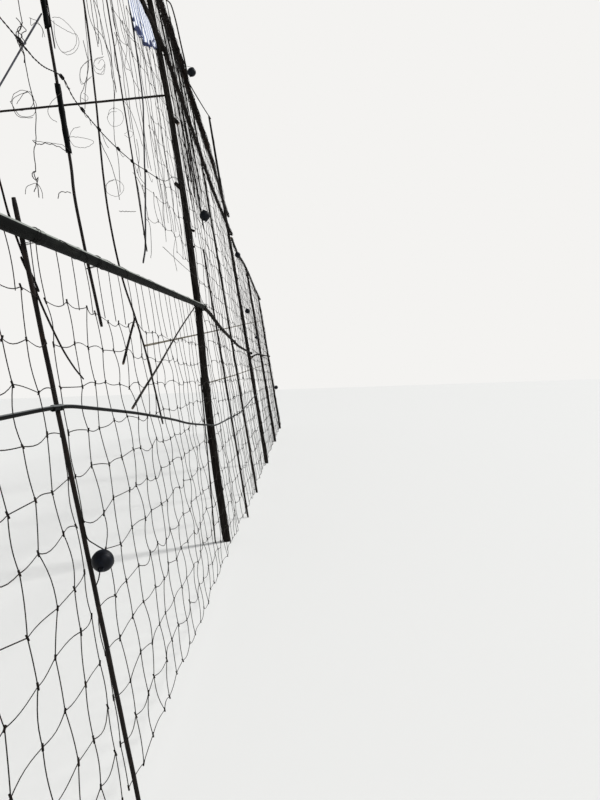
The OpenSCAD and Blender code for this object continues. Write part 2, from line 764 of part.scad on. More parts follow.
near_end_post();
rod_post();
spliced_upright();
splice_sleeves();
splice_splint();
second_upright();
third_upright();
grey_rod();
main_pole();
rod_beside_main_pole();
low_upright();
short_hanging_rod();
hooked_pole();
far_pole();
seventh_pole();
far_end_pole();
near_rail();
second_rail();
far_low_rail();
near_top_rail();
middle_top_rail();
upper_top_rail();
far_top_rail();
back_rails();
top_rope();
tension_wire();
middle_wire();
black_pipe();
pipe_coupling();
brace_cane();
short_stick();
near_stick_upper();
near_stick_lower();
tie_bar();
raking_stay();
net_bay_1();
net_bay_2();
net_bay_3();
net_bay_4();
net_bay_5();
net_bay_6();
torn_net();
rolled_net();
hook_float();
net_floats();
cloth_scrap();
near_lashings();
main_lashings();
far_lashings();
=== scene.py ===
import bpy
import numpy as np
from mathutils import Matrix, Vector

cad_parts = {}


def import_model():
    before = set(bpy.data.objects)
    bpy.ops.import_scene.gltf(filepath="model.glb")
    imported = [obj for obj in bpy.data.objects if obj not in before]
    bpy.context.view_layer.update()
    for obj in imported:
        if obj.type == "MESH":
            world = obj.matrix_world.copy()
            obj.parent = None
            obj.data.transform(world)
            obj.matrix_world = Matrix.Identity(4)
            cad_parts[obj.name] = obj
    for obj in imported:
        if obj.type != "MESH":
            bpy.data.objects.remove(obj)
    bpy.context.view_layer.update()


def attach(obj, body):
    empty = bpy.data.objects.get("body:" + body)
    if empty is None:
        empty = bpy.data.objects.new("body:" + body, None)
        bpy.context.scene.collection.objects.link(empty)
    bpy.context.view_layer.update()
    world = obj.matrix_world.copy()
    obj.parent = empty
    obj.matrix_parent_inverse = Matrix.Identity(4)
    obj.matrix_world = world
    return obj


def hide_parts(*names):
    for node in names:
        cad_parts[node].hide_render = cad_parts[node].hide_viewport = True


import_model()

# Sizes of the row, in millimetres, as the part has them. The fence stands in one plane that leans back from
# the path: u runs along the row, v up the slope and w across it, away from the path.
LEAN = np.radians(7.7)
FOOT = 36.0
ROD, SPLICED, MAIN, HOOK, FAR, SEVENTH, END = 3360.0, 4030.0, 7350.0, 9900.0, 12850.0, 16800.0, 20800.0
KNEE = 2140.0
ROD_SLANT, ROD_TALL = 210.0, 2120.0
# The rod beside the main pole leans on the pole's back at PROP_TOP, and stands off by PROP_SLOPE below it.
PROP_TOP, PROP_SLOPE = 1560, 0.071
# Rails lie before the plane by FRONT, the netting's thickness, and what stands behind a pole clears it by CLEAR.
FRONT = 3.6
CLEAR = 0.3


def stand(points):
    """Points of the row's plane become points of the world: with s = w - foot, y = s cos + v sin of the lean
    and z = v cos - s sin, and millimetres become metres."""
    u, s, v = points[..., 0], points[..., 1] - FOOT, points[..., 2]
    return np.stack([u, s * np.cos(LEAN) + v * np.sin(LEAN), v * np.cos(LEAN) - s * np.sin(LEAN)], -1) / 1000


def curve(points, count):
    """A smooth line through all points, as count points even in the parameter. Between points b and c, with
    neighbours a and d, it is half of 2b + (c - a)t + (2a - 5b + 4c - d)t^2 + (3b - a - 3c + d)t^3."""
    p = np.asarray(points, float)
    p = np.concatenate([2 * p[:1] - p[1:2], p, 2 * p[-1:] - p[-2:-1]])
    t = np.linspace(0, len(p) - 3, count)
    i = np.minimum(t.astype(int), len(p) - 4)
    t = (t - i)[:, None]
    a, b, c, d = p[i], p[i + 1], p[i + 2], p[i + 3]
    return 0.5 * (2 * b + (c - a) * t + (2 * a - 5 * b + 4 * c - d) * t ** 2 + (3 * b - a - 3 * c + d) * t ** 3)


def distance(path):
    """Distance along a path at each of its points, for one path or a stack of them."""
    step = np.linalg.norm(np.diff(path, axis=-2), axis=-1)
    return np.concatenate([np.zeros(step.shape[:-1] + (1,)), np.cumsum(step, -1)], -1)


def unit(v):
    """Vectors of length 1 in the same directions."""
    return v / np.maximum(np.linalg.norm(v, axis=-1, keepdims=True), 1e-9)


def sway(s, seed, lengths, size):
    """A gentle wander along s: a sum of sines of the given wave lengths with seeded phases, of which the longer
    weigh more, so that it stays within size."""
    rng = np.random.default_rng(seed)
    weigh = np.asarray(lengths, float) / np.sum(lengths)
    phase = rng.uniform(0, 2 * np.pi, len(lengths))
    return size * sum(k * np.sin(2 * np.pi * np.asarray(s) / l + p) for k, l, p in zip(weigh, lengths, phase))


class Piece:
    """Collects the surfaces of one piece. Each point also keeps its place in its own straightened member, which
    the patterns follow: (reach cos f, reach sin f, distance along), in metres, in the attribute grain."""

    def __init__(self):
        self.points, self.grain, self.faces, self.marks, self.count = [], [], [], [], 0

    def tubes(self, path, reach, beside=(0.0, 1.0, 0.0), end_mark=0, stands=False, closed=False):
        """Skins one path or a stack of them. With t the heading, b = t x beside and n = b x t, the points of a
        ring lie at path + reach (n cos f + b sin f). Quads join each ring to the next, and one flat face
        closes each end, or else the last ring is joined to the first. A standing path's first ring is set
        down on the ground, at v = (w - foot) tan lean."""
        path = np.asarray(path, float)
        path = path[None] if path.ndim == 2 else path
        reach = np.broadcast_to(np.asarray(reach, float), path.shape[:2] + (np.shape(reach)[-1],))
        t = unit(np.roll(path, -1, 1) - np.roll(path, 1, 1) if closed else np.gradient(path, axis=-2))
        b = unit(np.cross(t, np.broadcast_to(np.asarray(beside, float), t.shape)))
        n = np.cross(b, t)
        f = np.linspace(0, 2 * np.pi, reach.shape[-1], endpoint=False)
        out = n[..., None, :] * np.cos(f)[:, None] + b[..., None, :] * np.sin(f)[:, None]
        rings = path[..., None, :] + reach[..., None] * out
        if stands:
            rings[:, 0, :, 2] = (rings[:, 0, :, 1] - FOOT) * np.tan(LEAN)
        s = np.broadcast_to(distance(path)[..., None], reach.shape)
        k, m, c = reach.shape
        i = np.arange(k * m * c).reshape(k, m, c)
        j = np.roll(i, -1, axis=2)
        i1, j1 = (np.roll(i, -1, 1), np.roll(j, -1, 1)) if closed else (i[:, 1:], j[:, 1:])
        i0, j0 = (i, j) if closed else (i[:, :-1], j[:, :-1])
        faces = [(np.stack([i0, j0, j1, i1], -1).reshape(-1, 4), 0)]
        if not closed:
            faces.append((np.concatenate([i[:, 0, ::-1], i[:, -1]]), end_mark))
        grain = np.stack([reach * np.cos(f), reach * np.sin(f), s], -1)
        self.add(stand(rings).reshape(-1, 3), grain.reshape(-1, 3), faces)
        return self

    def add(self, points, grain, faces):
        """Takes in a surface, whose faces are (rows of corners, finish number) pairs."""
        self.points.append(points)
        self.grain.append(grain / 1000)
        self.faces += [f + self.count for f, mark in faces]
        self.marks += [np.full(len(f), mark) for f, mark in faces]
        self.count += len(points)

    def make(self, name, finishes, slot, *nodes):
        """Makes the mesh, gives it its finishes and hides the parts of the model that it stands for."""
        mesh = bpy.data.meshes.new(name)
        points = np.concatenate(self.points)
        mesh.vertices.add(len(points))
        mesh.vertices.foreach_set("co", points.astype(np.float32).ravel())
        sizes = np.concatenate([np.full(len(f), f.shape[1]) for f in self.faces])
        mesh.loops.add(int(sizes.sum()))
        mesh.loops.foreach_set("vertex_index", np.concatenate([f.ravel() for f in self.faces]).astype(np.int32))
        mesh.polygons.add(len(sizes))
        mesh.polygons.foreach_set("loop_start", np.concatenate([[0], np.cumsum(sizes)[:-1]]).astype(np.int32))
        mesh.polygons.foreach_set("material_index", np.concatenate(self.marks).astype(np.int32))
        mesh.polygons.foreach_set("use_smooth", np.ones(len(sizes), bool))
        grain = mesh.attributes.new("grain", "FLOAT_VECTOR", "POINT")
        grain.data.foreach_set("vector", np.concatenate(self.grain).astype(np.float32).ravel())
        mesh.update(calc_edges=True)
        mesh.validate()
        for finish in finishes:
            mesh.materials.append(finish)
        piece = bpy.data.objects.new(name, mesh)
        bpy.context.scene.collection.objects.link(piece)
        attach(piece, "root")
        if nodes:
            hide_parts(*nodes)
        return piece


# Finishes

def linear(code):
    """An sRGB hex value as linear colour: c / 12.92 up to 0.04045, else ((c + 0.055) / 1.055) to the 2.4."""
    c = np.array([int(code[i:i + 2], 16) for i in (1, 3, 5)]) / 255
    return (*np.where(c <= 0.04045, c / 12.92, ((c + 0.055) / 1.055) ** 2.4), 1.0)


def node(of, kind, *links, at=None, stops=(), **settings):
    """Adds a node. Links are (input, source) pairs, where a source is a node, a socket or a plain number. The
    place that a pattern follows is at, with its scale. Settings are the node's properties, or its inputs with
    in_ before the name, and stops are a ramp's (place, hex) pairs."""
    made = of.node_tree.nodes.new(kind)
    values = {key[3:].replace("_", " "): value for key, value in settings.items() if key.startswith("in_")}
    for key in settings:
        if not key.startswith("in_"):
            setattr(made, key, settings[key])
    if at:
        links = (("Vector", node(of, "ShaderNodeMapping", ("Vector", at[0]), in_Scale=at[1])), *links)
    for key, source in (*values.items(), *links):
        into = made.inputs[key] if isinstance(key, int) else next(i for i in made.inputs if i.enabled and i.name == key)
        if isinstance(source, bpy.types.Node):
            source = next(out for out in source.outputs if out.enabled)
        if isinstance(source, bpy.types.NodeSocket):
            of.node_tree.links.new(source, into)
        else:
            into.default_value = source
    if stops:
        band = made.color_ramp
        while len(band.elements) < len(stops):
            band.elements.new(1.0)
        for element, (place, code) in zip(band.elements, stops):
            element.position, element.color = place, linear(code)
    return made


def patterned(of, shader, colour=None, roughness=None, normal=None):
    """Links the shader of a material to the patterns made for it."""
    for key, source in (("Base Color", colour), ("Roughness", roughness), ("Normal", normal)):
        if source:
            of.node_tree.links.new(source, shader.inputs[key])


def finish(name, colour, roughness, metallic=0.0, shine=0.5):
    """A new material with its plain values, and its shader, to which the patterns are linked."""
    made = bpy.data.materials.new(name)
    made.use_nodes = True
    made.diffuse_color = linear(colour)
    shader = made.node_tree.nodes["Principled BSDF"]
    shader.inputs["Base Color"].default_value = linear(colour)
    shader.inputs["Roughness"].default_value = roughness
    shader.inputs["Metallic"].default_value = metallic
    shader.inputs["Specular IOR Level"].default_value = shine
    return made, shader


def weathered_timber(name, dark, mid, pale, lichen):
    """Round timber with thin weathered bark: ridges about 7 mm wide and 60 mm long, fine drying checks along the
    pole, sun-bleached streaks and small pale lichen patches. It is dry, so it hardly shines."""
    made, shader = finish(name, mid, 0.92, shine=0.08)
    place = node(made, "ShaderNodeAttribute", attribute_name="grain").outputs["Vector"]
    ridges = node(made, "ShaderNodeTexNoise", at=(place, (140, 140, 16)),
                  in_Scale=1.0, in_Detail=6.0, in_Roughness=0.62)
    broad = node(made, "ShaderNodeTexNoise", at=(place, (22, 22, 2.2)), in_Scale=1.0, in_Detail=4.0)
    checks = node(made, "ShaderNodeTexNoise", at=(place, (330, 330, 9)),
                  in_Scale=1.0, in_Detail=3.0, in_Roughness=0.7)
    spots = node(made, "ShaderNodeTexNoise", at=(place, (48, 48, 34)), in_Scale=1.0, in_Detail=5.0, in_Roughness=0.7)
    base = node(made, "ShaderNodeValToRGB", ("Fac", ridges), stops=[(0.32, dark), (0.50, mid), (0.70, pale)])
    tone = node(made, "ShaderNodeValToRGB", ("Fac", broad), stops=[(0.34, "#8A8078"), (0.66, "#FFFFFF")])
    cut = node(made, "ShaderNodeValToRGB", ("Fac", checks), stops=[(0.34, "#3A332E"), (0.43, "#FFFFFF")])
    where = node(made, "ShaderNodeValToRGB", ("Fac", spots), stops=[(0.62, "#000000"), (0.70, "#FFFFFF")])
    for share, over in ((0.9, tone), (0.8, cut)):
        base = node(made, "ShaderNodeMix", ("A", base), ("B", over), data_type="RGBA", blend_type="MULTIPLY",
                    in_Factor=share)
    shade = node(made, "ShaderNodeMix", ("Factor", where), ("A", base), data_type="RGBA", in_B=linear(lichen))
    height = node(made, "ShaderNodeMath", (0, ridges), (1, checks), operation="ADD")
    bump = node(made, "ShaderNodeBump", ("Height", height), in_Distance=0.004, in_Strength=0.9)
    patterned(made, shader, shade.outputs[2], normal=bump.outputs[0])
    return made


# Laurel and heath poles, cut with their bark on and left out for years: near black brown with grey ridges.
pole_bark = weathered_timber("weathered_laurel_pole", "#0D0C0A", "#1C1917", "#38332F", "#44463D")
# The same wood as thinner rails, a little greyer where the bark has come off.
rail_bark = weathered_timber("weathered_heath_rail", "#0F0D0C", "#1E1A18", "#3A342F", "#45473F")

# Sawn ends: greyed end grain, with growth rings about 6 mm apart round the heart.
sawn_end, shader = finish("sawn_end_grain", "#5E5144", 0.9)
place = node(sawn_end, "ShaderNodeAttribute", attribute_name="grain").outputs["Vector"]
rings = node(sawn_end, "ShaderNodeTexWave", at=(place, (1, 1, 0)), wave_type="RINGS",
             rings_direction="SPHERICAL", in_Scale=52.0, in_Distortion=1.5, in_Detail=2.0)
base = node(sawn_end, "ShaderNodeValToRGB", ("Fac", rings),
            stops=[(0.0, "#4A3E33"), (0.6, "#665849"), (1.0, "#75685A")])
patterned(sawn_end, shader, base.outputs[0])

# Giant bamboo, weathered: a hard skin gone near black with soot and algae in blotches, fine fibres along it 2 mm
# apart, and a painted highlight along its top: a pale band where the light would catch it.
bamboo, shader = finish("weathered_bamboo", "#141614", 0.6, shine=0.03)
place = node(bamboo, "ShaderNodeAttribute", attribute_name="grain").outputs["Vector"]
fibres = node(bamboo, "ShaderNodeTexNoise", at=(place, (500, 500, 12)), in_Scale=1.0, in_Detail=3.0)
blotches = node(bamboo, "ShaderNodeTexNoise", at=(place, (30, 30, 6)), in_Scale=1.0, in_Detail=6.0, in_Roughness=0.65)
base = node(bamboo, "ShaderNodeValToRGB", ("Fac", blotches),
            stops=[(0.30, "#060706"), (0.50, "#0D0F0D"), (0.74, "#232521")])
thin = node(bamboo, "ShaderNodeValToRGB", ("Fac", fibres), stops=[(0.35, "#8E8B84"), (0.65, "#FFFFFF")])
base = node(bamboo, "ShaderNodeMix", ("A", base), ("B", thin), data_type="RGBA", blend_type="MULTIPLY", in_Factor=0.7)
# Painted highlight: where the grain's height round the rail passes 6.4 to 8.2 mm, the colour is mixed through the
# fibres towards pale #C4C8C0.
height = node(bamboo, "ShaderNodeSeparateXYZ", ("Vector", place)).outputs[1]
top = node(bamboo, "ShaderNodeMapRange", ("Value", height), in_From_Min=0.0064, in_From_Max=0.0082)
top = node(bamboo, "ShaderNodeMath", (0, top), (1, fibres), operation="MULTIPLY")
base = node(bamboo, "ShaderNodeMix", ("Factor", top), ("A", base.outputs[2]), data_type="RGBA", in_B=linear("#C4C8C0"))
bump = node(bamboo, "ShaderNodeBump", ("Height", fibres), in_Distance=0.0006, in_Strength=0.5)
patterned(bamboo, shader, base.outputs[2], normal=bump.outputs[0])


def reed(name, dark, mid, pale):
    """Giant reed cane, dry and grey: fine fibres, a duller skin than bamboo."""
    made, shader = finish(name, mid, 0.8, shine=0.1)
    place = node(made, "ShaderNodeAttribute", attribute_name="grain").outputs["Vector"]
    fibres = node(made, "ShaderNodeTexNoise", at=(place, (420, 420, 8)), in_Scale=1.0, in_Detail=4.0)
    base = node(made, "ShaderNodeValToRGB", ("Fac", fibres), stops=[(0.30, dark), (0.52, mid), (0.72, pale)])
    bump = node(made, "ShaderNodeBump", ("Height", fibres), in_Distance=0.0008, in_Strength=0.6)
    patterned(made, shader, base.outputs[0], normal=bump.outputs[0])
    return made


cane = reed("dry_reed_cane", "#11100E", "#211D1A", "#3B352E")
# The two back rails have lost their bark and are bleached by the sun.
pale_cane = reed("bleached_stripped_cane", "#3F3A33", "#676155", "#8F897C")

# Reinforcing bar, rusted through its mill scale: dark brown with orange brown bloom, and rolled ribs that
# cross it aslant every 18 mm.
bar, shader = finish("rusted_reinforcing_bar", "#1C1512", 0.85, 0.2, 0.3)
place = node(bar, "ShaderNodeAttribute", attribute_name="grain").outputs["Vector"]
bloom = node(bar, "ShaderNodeTexNoise", at=(place, (90, 90, 30)), in_Scale=1.0, in_Detail=7.0, in_Roughness=0.68)
base = node(bar, "ShaderNodeValToRGB", ("Fac", bloom),
            stops=[(0.32, "#0B0908"), (0.50, "#17120F"), (0.66, "#271C16"), (0.80, "#43301F")])
ribs = node(bar, "ShaderNodeTexWave", at=(place, (30, 0, 35)),
            wave_type="BANDS", bands_direction="DIAGONAL", in_Scale=1.0)
bump = node(bar, "ShaderNodeBump", ("Height", ribs), in_Distance=0.0012, in_Strength=0.7)
bump = node(bar, "ShaderNodeBump", ("Height", bloom), ("Normal", bump), in_Distance=0.0015, in_Strength=0.6)
patterned(bar, shader, base.outputs[0], normal=bump.outputs[0])


def galvanised(name, dark, mid, pale):
    """Galvanised steel, dulled outdoors: grey zinc with a fine cloudy bloom and a few brown runs."""
    made, shader = finish(name, mid, 0.6, 0.6, 0.4)
    place = node(made, "ShaderNodeAttribute", attribute_name="grain").outputs["Vector"]
    cloud = node(made, "ShaderNodeTexNoise", at=(place, (70, 70, 14)), in_Scale=1.0, in_Detail=6.0, in_Roughness=0.7)
    base = node(made, "ShaderNodeValToRGB", ("Fac", cloud), stops=[(0.30, dark), (0.42, mid), (0.70, pale)])
    rough = node(made, "ShaderNodeMapRange", ("Value", cloud), in_To_Min=0.75, in_To_Max=0.45)
    patterned(made, shader, base.outputs[0], rough.outputs[0])
    return made


zinc = galvanised("weathered_galvanised_tube", "#33281F", "#4B4C54", "#6E7079")
dark_zinc = galvanised("blackened_galvanised_rod", "#15110E", "#1E1E20", "#303134")


def drawn_wire(name, dark, mid, pale, metallic, roughness):
    """Old fence wire: its zinc gone, dark, with rust in patches 30 to 80 mm long. Too thin for relief to show."""
    made, shader = finish(name, mid, roughness, metallic, 0.15)
    place = node(made, "ShaderNodeTexCoord").outputs["Object"]
    patches = node(made, "ShaderNodeTexNoise", ("Vector", place), in_Scale=19.0, in_Detail=5.0, in_Roughness=0.7)
    base = node(made, "ShaderNodeValToRGB", ("Fac", patches), stops=[(0.34, dark), (0.52, mid), (0.70, pale)])
    patterned(made, shader, base.outputs[0])
    return made


# Field fence wire, dull and rust brown.
net_wire = drawn_wire("weathered_fence_wire", "#0E0C0B", "#1B1714", "#30271F", 0.2, 0.8)
# The netting that was rolled up on the top rail is rusted more.
rusty_wire = drawn_wire("rusted_netting_wire", "#0D0A09", "#1B1411", "#35251B", 0.1, 0.92)
# Soft annealed tie wire, black with a brown cast.
tie_wire = drawn_wire("annealed_tie_wire", "#070606", "#0F0D0D", "#1E1916", 0.2, 0.75)
# Tarred net twine, black brown and without shine.
twine = drawn_wire("tarred_net_twine", "#0B0A09", "#171412", "#2B2520", 0.0, 0.95)

# Black polyethylene pipe, extruded and sun-aged: black with chalky streaks along it, and paler along its top.
pipe_plastic, shader = finish("sun_aged_polyethylene", "#0A0B0B", 0.6, shine=0.04)
place = node(pipe_plastic, "ShaderNodeAttribute", attribute_name="grain").outputs["Vector"]
chalk = node(pipe_plastic, "ShaderNodeTexNoise", at=(place, (160, 160, 6)),
             in_Scale=1.0, in_Detail=6.0, in_Roughness=0.65)
base = node(pipe_plastic, "ShaderNodeValToRGB", ("Fac", chalk),
            stops=[(0.38, "#040505"), (0.62, "#0A0B0B"), (0.86, "#1D1E1D")])
# Paler towards its top: from 3 to 4.8 mm of height round the pipe the colour goes over to grey #6A6C6C.
height = node(pipe_plastic, "ShaderNodeSeparateXYZ", ("Vector", place)).outputs[1]
top = node(pipe_plastic, "ShaderNodeMapRange", ("Value", height), in_From_Min=0.0030, in_From_Max=0.0048)
base = node(pipe_plastic, "ShaderNodeMix", ("Factor", top), ("A", base), data_type="RGBA", in_B=linear("#6A6C6C"))
rough = node(pipe_plastic, "ShaderNodeMapRange", ("Value", chalk), in_To_Min=0.4, in_To_Max=0.72)
patterned(pipe_plastic, shader, base.outputs[2], rough.outputs[0])

# Fishing floats, blow moulded in hard plastic: blue black, scuffed to grey in small scratches and spots.
float_plastic, shader = finish("moulded_float_plastic", "#0C1018", 0.45, shine=0.15)
place = node(float_plastic, "ShaderNodeTexCoord").outputs["Object"]
scuffs = node(float_plastic, "ShaderNodeTexNoise", ("Vector", place), in_Scale=70.0, in_Detail=8.0, in_Roughness=0.75)
base = node(float_plastic, "ShaderNodeValToRGB", ("Fac", scuffs),
            stops=[(0.42, "#05070C"), (0.62, "#0A0F1A"), (0.80, "#222830")])
rough = node(float_plastic, "ShaderNodeMapRange", ("Value", scuffs), in_To_Min=0.28, in_To_Max=0.7)
patterned(float_plastic, shader, base.outputs[0], rough.outputs[0])

# Laid polypropylene rope, dark and dusty, with loose fibres that blur its strands.
rope, shader = finish("old_laid_rope", "#171513", 0.95, shine=0.2)
place = node(rope, "ShaderNodeAttribute", attribute_name="grain").outputs["Vector"]
fibres = node(rope, "ShaderNodeTexNoise", at=(place, (900, 900, 120)), in_Scale=1.0, in_Detail=3.0)
base = node(rope, "ShaderNodeValToRGB", ("Fac", fibres),
            stops=[(0.35, "#0A0908"), (0.6, "#1A1715"), (0.8, "#332E2A")])
patterned(rope, shader, base.outputs[0])

# Thin woven cotton, sun-bleached: off-white with faded grey blue stripes about 55 mm apart, a dark blue hem
# along its torn lower edge, and a 1.2 mm weave, drawn at 4 mm so that it shows.
cloth, shader = finish("faded_striped_cotton", "#C9CDD3", 0.92, shine=0.2)
cut = node(cloth, "ShaderNodeUVMap", uv_map="cut")
part = node(cloth, "ShaderNodeSeparateXYZ", ("Vector", cut))
waver = node(cloth, "ShaderNodeTexNoise", at=(cut, (3, 9, 1)), in_Scale=1.0, in_Detail=4.0)
shift = node(cloth, "ShaderNodeMath", (0, waver), (1, 0.05), (2, part.outputs[0]), operation="MULTIPLY_ADD")
stripe = node(cloth, "ShaderNodeMath", (0, shift), (1, 114.0), operation="MULTIPLY")
stripe = node(cloth, "ShaderNodeMath", (0, stripe), operation="SINE")
stripe = node(cloth, "ShaderNodeMapRange", ("Value", stripe), in_From_Min=-1.0, in_From_Max=1.0)
bands = node(cloth, "ShaderNodeValToRGB", ("Fac", stripe),
             stops=[(0.0, "#EDEDEE"), (0.55, "#DADEE6"), (0.74, "#8494B8"), (1.0, "#3E4C78")])
hem = node(cloth, "ShaderNodeMath", (0, part.outputs[1]), (1, waver), operation="ADD")
edge = node(cloth, "ShaderNodeMapRange", ("Value", hem), in_From_Min=1.36, in_From_Max=1.42)
base = node(cloth, "ShaderNodeMix", ("Factor", edge), ("A", bands), data_type="RGBA", in_B=linear("#182349"))
place = node(cloth, "ShaderNodeTexCoord").outputs["Object"]
weave = node(cloth, "ShaderNodeTexChecker", ("Vector", place), in_Scale=250.0)
bump = node(cloth, "ShaderNodeBump", ("Height", weave.outputs["Fac"]), in_Distance=0.0008, in_Strength=0.4)
patterned(cloth, shader, base.outputs[2], normal=bump.outputs[0])


# Poles

def spaced(length, step):
    """Distances along a member: even steps, with close ones at both ends where its edges are rounded."""
    ends = np.array([0.0, 2.0, 6.0, 14.0])
    return np.concatenate([ends, np.linspace(30, length - 30, max(int(length / step), 2)), length - ends[::-1]])


def timber_reach(s, r, seed, knots=(), around=24):
    """Reach of a bark-covered member at distances s and angles f: r times 1 plus low sines of 2f, 3f, 5f and 9f
    that wander along it, plus h exp(-(ds/30)^2 - (df/0.5)^2) at each knot (distance, angle, h), drawn in by a
    seventh at both ends over a few millimetres."""
    f = np.linspace(0, 2 * np.pi, around, endpoint=False)
    s, r = s[:, None], np.asarray(r)[:, None] * np.ones_like(s[:, None])
    a, b, c, d = np.random.default_rng(seed).uniform(0, 6.28, 4)
    lumps = (0.032 * np.sin(2 * f + s / 290 + a) + 0.024 * np.sin(3 * f - s / 160 + b)
             + 0.018 * np.sin(5 * f + s / 75 + c) + 0.014 * np.sin(9 * f + 2.2 * np.sin(s / 110 + d)))
    reach = r * (1 + lumps)
    for at, turn, high in knots:
        off = (f - turn + np.pi) % (2 * np.pi) - np.pi
        reach = reach + high * np.exp(-((s - at) / 30) ** 2 - (off / 0.5) ** 2)
    return reach * (1 - 0.14 * np.exp(-s / 4) - 0.14 * np.exp(-(s.max() - s) / 4))


def cane_reach(s, r, spacing, swell, around=16, first=0.0):
    """Reach of a cane: r, plus swell exp(-(d/6)^2) at its rings, where d is the distance to the nearest ring, less
    a third of swell just past it, drawn in at the ends. A ring lies at the distance first."""
    f = np.linspace(0, 2 * np.pi, around, endpoint=False)
    s, r = s[:, None], np.asarray(r)[:, None] * np.ones_like(s[:, None])
    d = (s - first + spacing / 2) % spacing - spacing / 2
    ring = swell * (np.exp(-(d / 6) ** 2) - 0.35 * np.exp(-((d - 14) / 8) ** 2))
    worn = 1 - 0.2 * np.exp(-s / 3) - 0.2 * np.exp(-(s.max() - s) / 3)
    return (r + ring) * (1 + 0.012 * np.sin(2 * f + s / 400)) * worn


def stub(piece, start, tip, r, base):
    """A cut branch stub from inside its pole: r, flaring by base exp(-s/16) where it leaves, with a sawn end."""
    path = np.linspace(start, tip, 14)
    s = distance(path)
    f = np.linspace(0, 2 * np.pi, 16, endpoint=False)
    reach = (r + base * np.exp(-s / 16))[:, None] * (1 + 0.07 * np.sin(3 * f + s[:, None] / 20))
    reach = reach * (1 - 0.16 * np.exp(-(s[-1] - s) / 3))[:, None]
    piece.tubes(path, reach, beside=(1.0, 0.0, 0.0), end_mark=1)


def near_end_place(v):
    """The near end post's middle along the row and across it, and its reach, at heights v up the slope."""
    return 0 * v, FOOT + 0 * v, 36 - 9 * (v + 36) / (4650 + 36)


def main_place(v):
    """The main pole, which stands back from the row by 90 (1 - (v/KNEE)^2) up to its knee, and above it bows
    along the row by 370 sin(pi (v - KNEE)/3810)."""
    back = np.where(v < KNEE, 90 * (1 - (v / KNEE) ** 2), 0)
    bow = np.where(v < KNEE, 0, 370 * np.sin(np.pi * (v - KNEE) / 3810))
    r = 37 - 11 * v / 5850
    return MAIN + 8 * np.sin(np.radians(540 * v / 5850)) + bow, r + back, r


def pole_line(at, swing, degrees, foot, taper, tall):
    """A pole at u = at + swing sin(degrees v/tall), of the reach foot - taper v/tall, whose front touches the
    row's plane."""
    def place(v):
        r = foot - taper * v / tall
        return at + swing * np.sin(np.radians(degrees * v / tall)), r, r
    return place


hook_place = pole_line(HOOK - 10, 35, 200, 15, 7 * 0.7, 5800)
far_place = pole_line(FAR, 8, 500, 32, 15, 6280)
seventh_place = pole_line(SEVENTH, 10, 360, 30, 8, 4230)
end_place = pole_line(END, 0, 0, 29, 9, 4080)


def spot(place, v):
    """A pole's place and reach at one height, as plain numbers."""
    return tuple(float(k) for k in place(np.float64(v)))


def timber_pole(name, place, height, seed, *stubs):
    """A standing pole whose middle follows its place at each height up the slope, with seeded knots, and with
    stubs given as (height, across, up, reach)."""
    piece = Piece()
    s = np.concatenate([[0.0], spaced(height, 26)[4:]])
    s[0] = (place(s[0])[1] - FOOT) * np.tan(LEAN)
    u, w, r = place(s)
    rng = np.random.default_rng(seed)
    knots = np.stack([rng.uniform(*limits, 11) for limits in ((200, height - 150), (0, 6.28), (3, 8))], -1)
    piece.tubes(np.stack([u, w, s], -1), timber_reach(s, r, seed, knots), end_mark=1, stands=True)
    for v, across, up, thick in stubs:
        u, w, r = spot(place, v)
        stub(piece, (u, w, v), (u, w + across, v + up), thick, thick * 0.7)
    return piece.make(name, [pole_bark, sawn_end], "weathered_wood", name.replace("timber_", ""))


timber_pole("timber_near_end_post", near_end_place, 4650, 3, (2900, 62, 55, 11), (3700, -58, 40, 9))
timber_pole("timber_main_pole", main_place, 5850, 7, (4170, -62, -82, 19), (3420, 62, 78, 19), (3010, -60, -34, 12),
            (2830, -42, -14, 9), (1500, 44, 20, 8))
timber_pole("timber_far_pole", far_place, 6280, 11, (3300, -44, 40, 9), (4700, 38, 45, 8))
timber_pole("timber_seventh_pole", seventh_place, 4230, 13, (2500, 44, 42, 9))
timber_pole("timber_far_end_pole", end_place, 4080, 17, (2900, -42, 36, 8))

# The hooked pole is a long reed cane, bent over at its top
hook = Piece()
bend = curve([[spot(hook_place, 5000)[0], 5000], [9905, 5300], [9950, 5560], [9978, 5740], [9946, 5847], [9870, 5925],
              [9795, 6010], [9730, 6110], [9660, 6195], [9560, 6250], [9450, 6268], [9330, 6248], [9147, 6168],
              [8892, 6036]], 90)[1:]
v = np.linspace(0, 5800, 240)
v = v[v < 4990]
u, w, r = hook_place(v)
thick = np.concatenate([r, np.linspace(spot(hook_place, 4990)[2], 8, len(bend))])
line = np.stack([np.concatenate([u, bend[:, 0]]), thick, np.concatenate([v, bend[:, 1]])], -1)
hook.tubes(line, cane_reach(distance(line), thick, 262, 1.6, 14), end_mark=1, stands=True)
hook.make("cane_hooked_pole", [cane, sawn_end], "grey_cane", "hooked_pole")


# Rods

def rod_reach(s, r, around=12):
    """A bar's reach: r (1 + 0.04 sin(s/37 + f)), with its cut ends drawn in a little."""
    f = np.linspace(0, 2 * np.pi, around, endpoint=False)
    s, r = s[:, None], (np.asarray(r) * np.ones_like(s))[:, None]
    return r * (1 + 0.04 * np.sin(s / 37 + f)) * (1 - 0.2 * np.exp(-s / 2) - 0.2 * np.exp(-(s.max() - s) / 2))


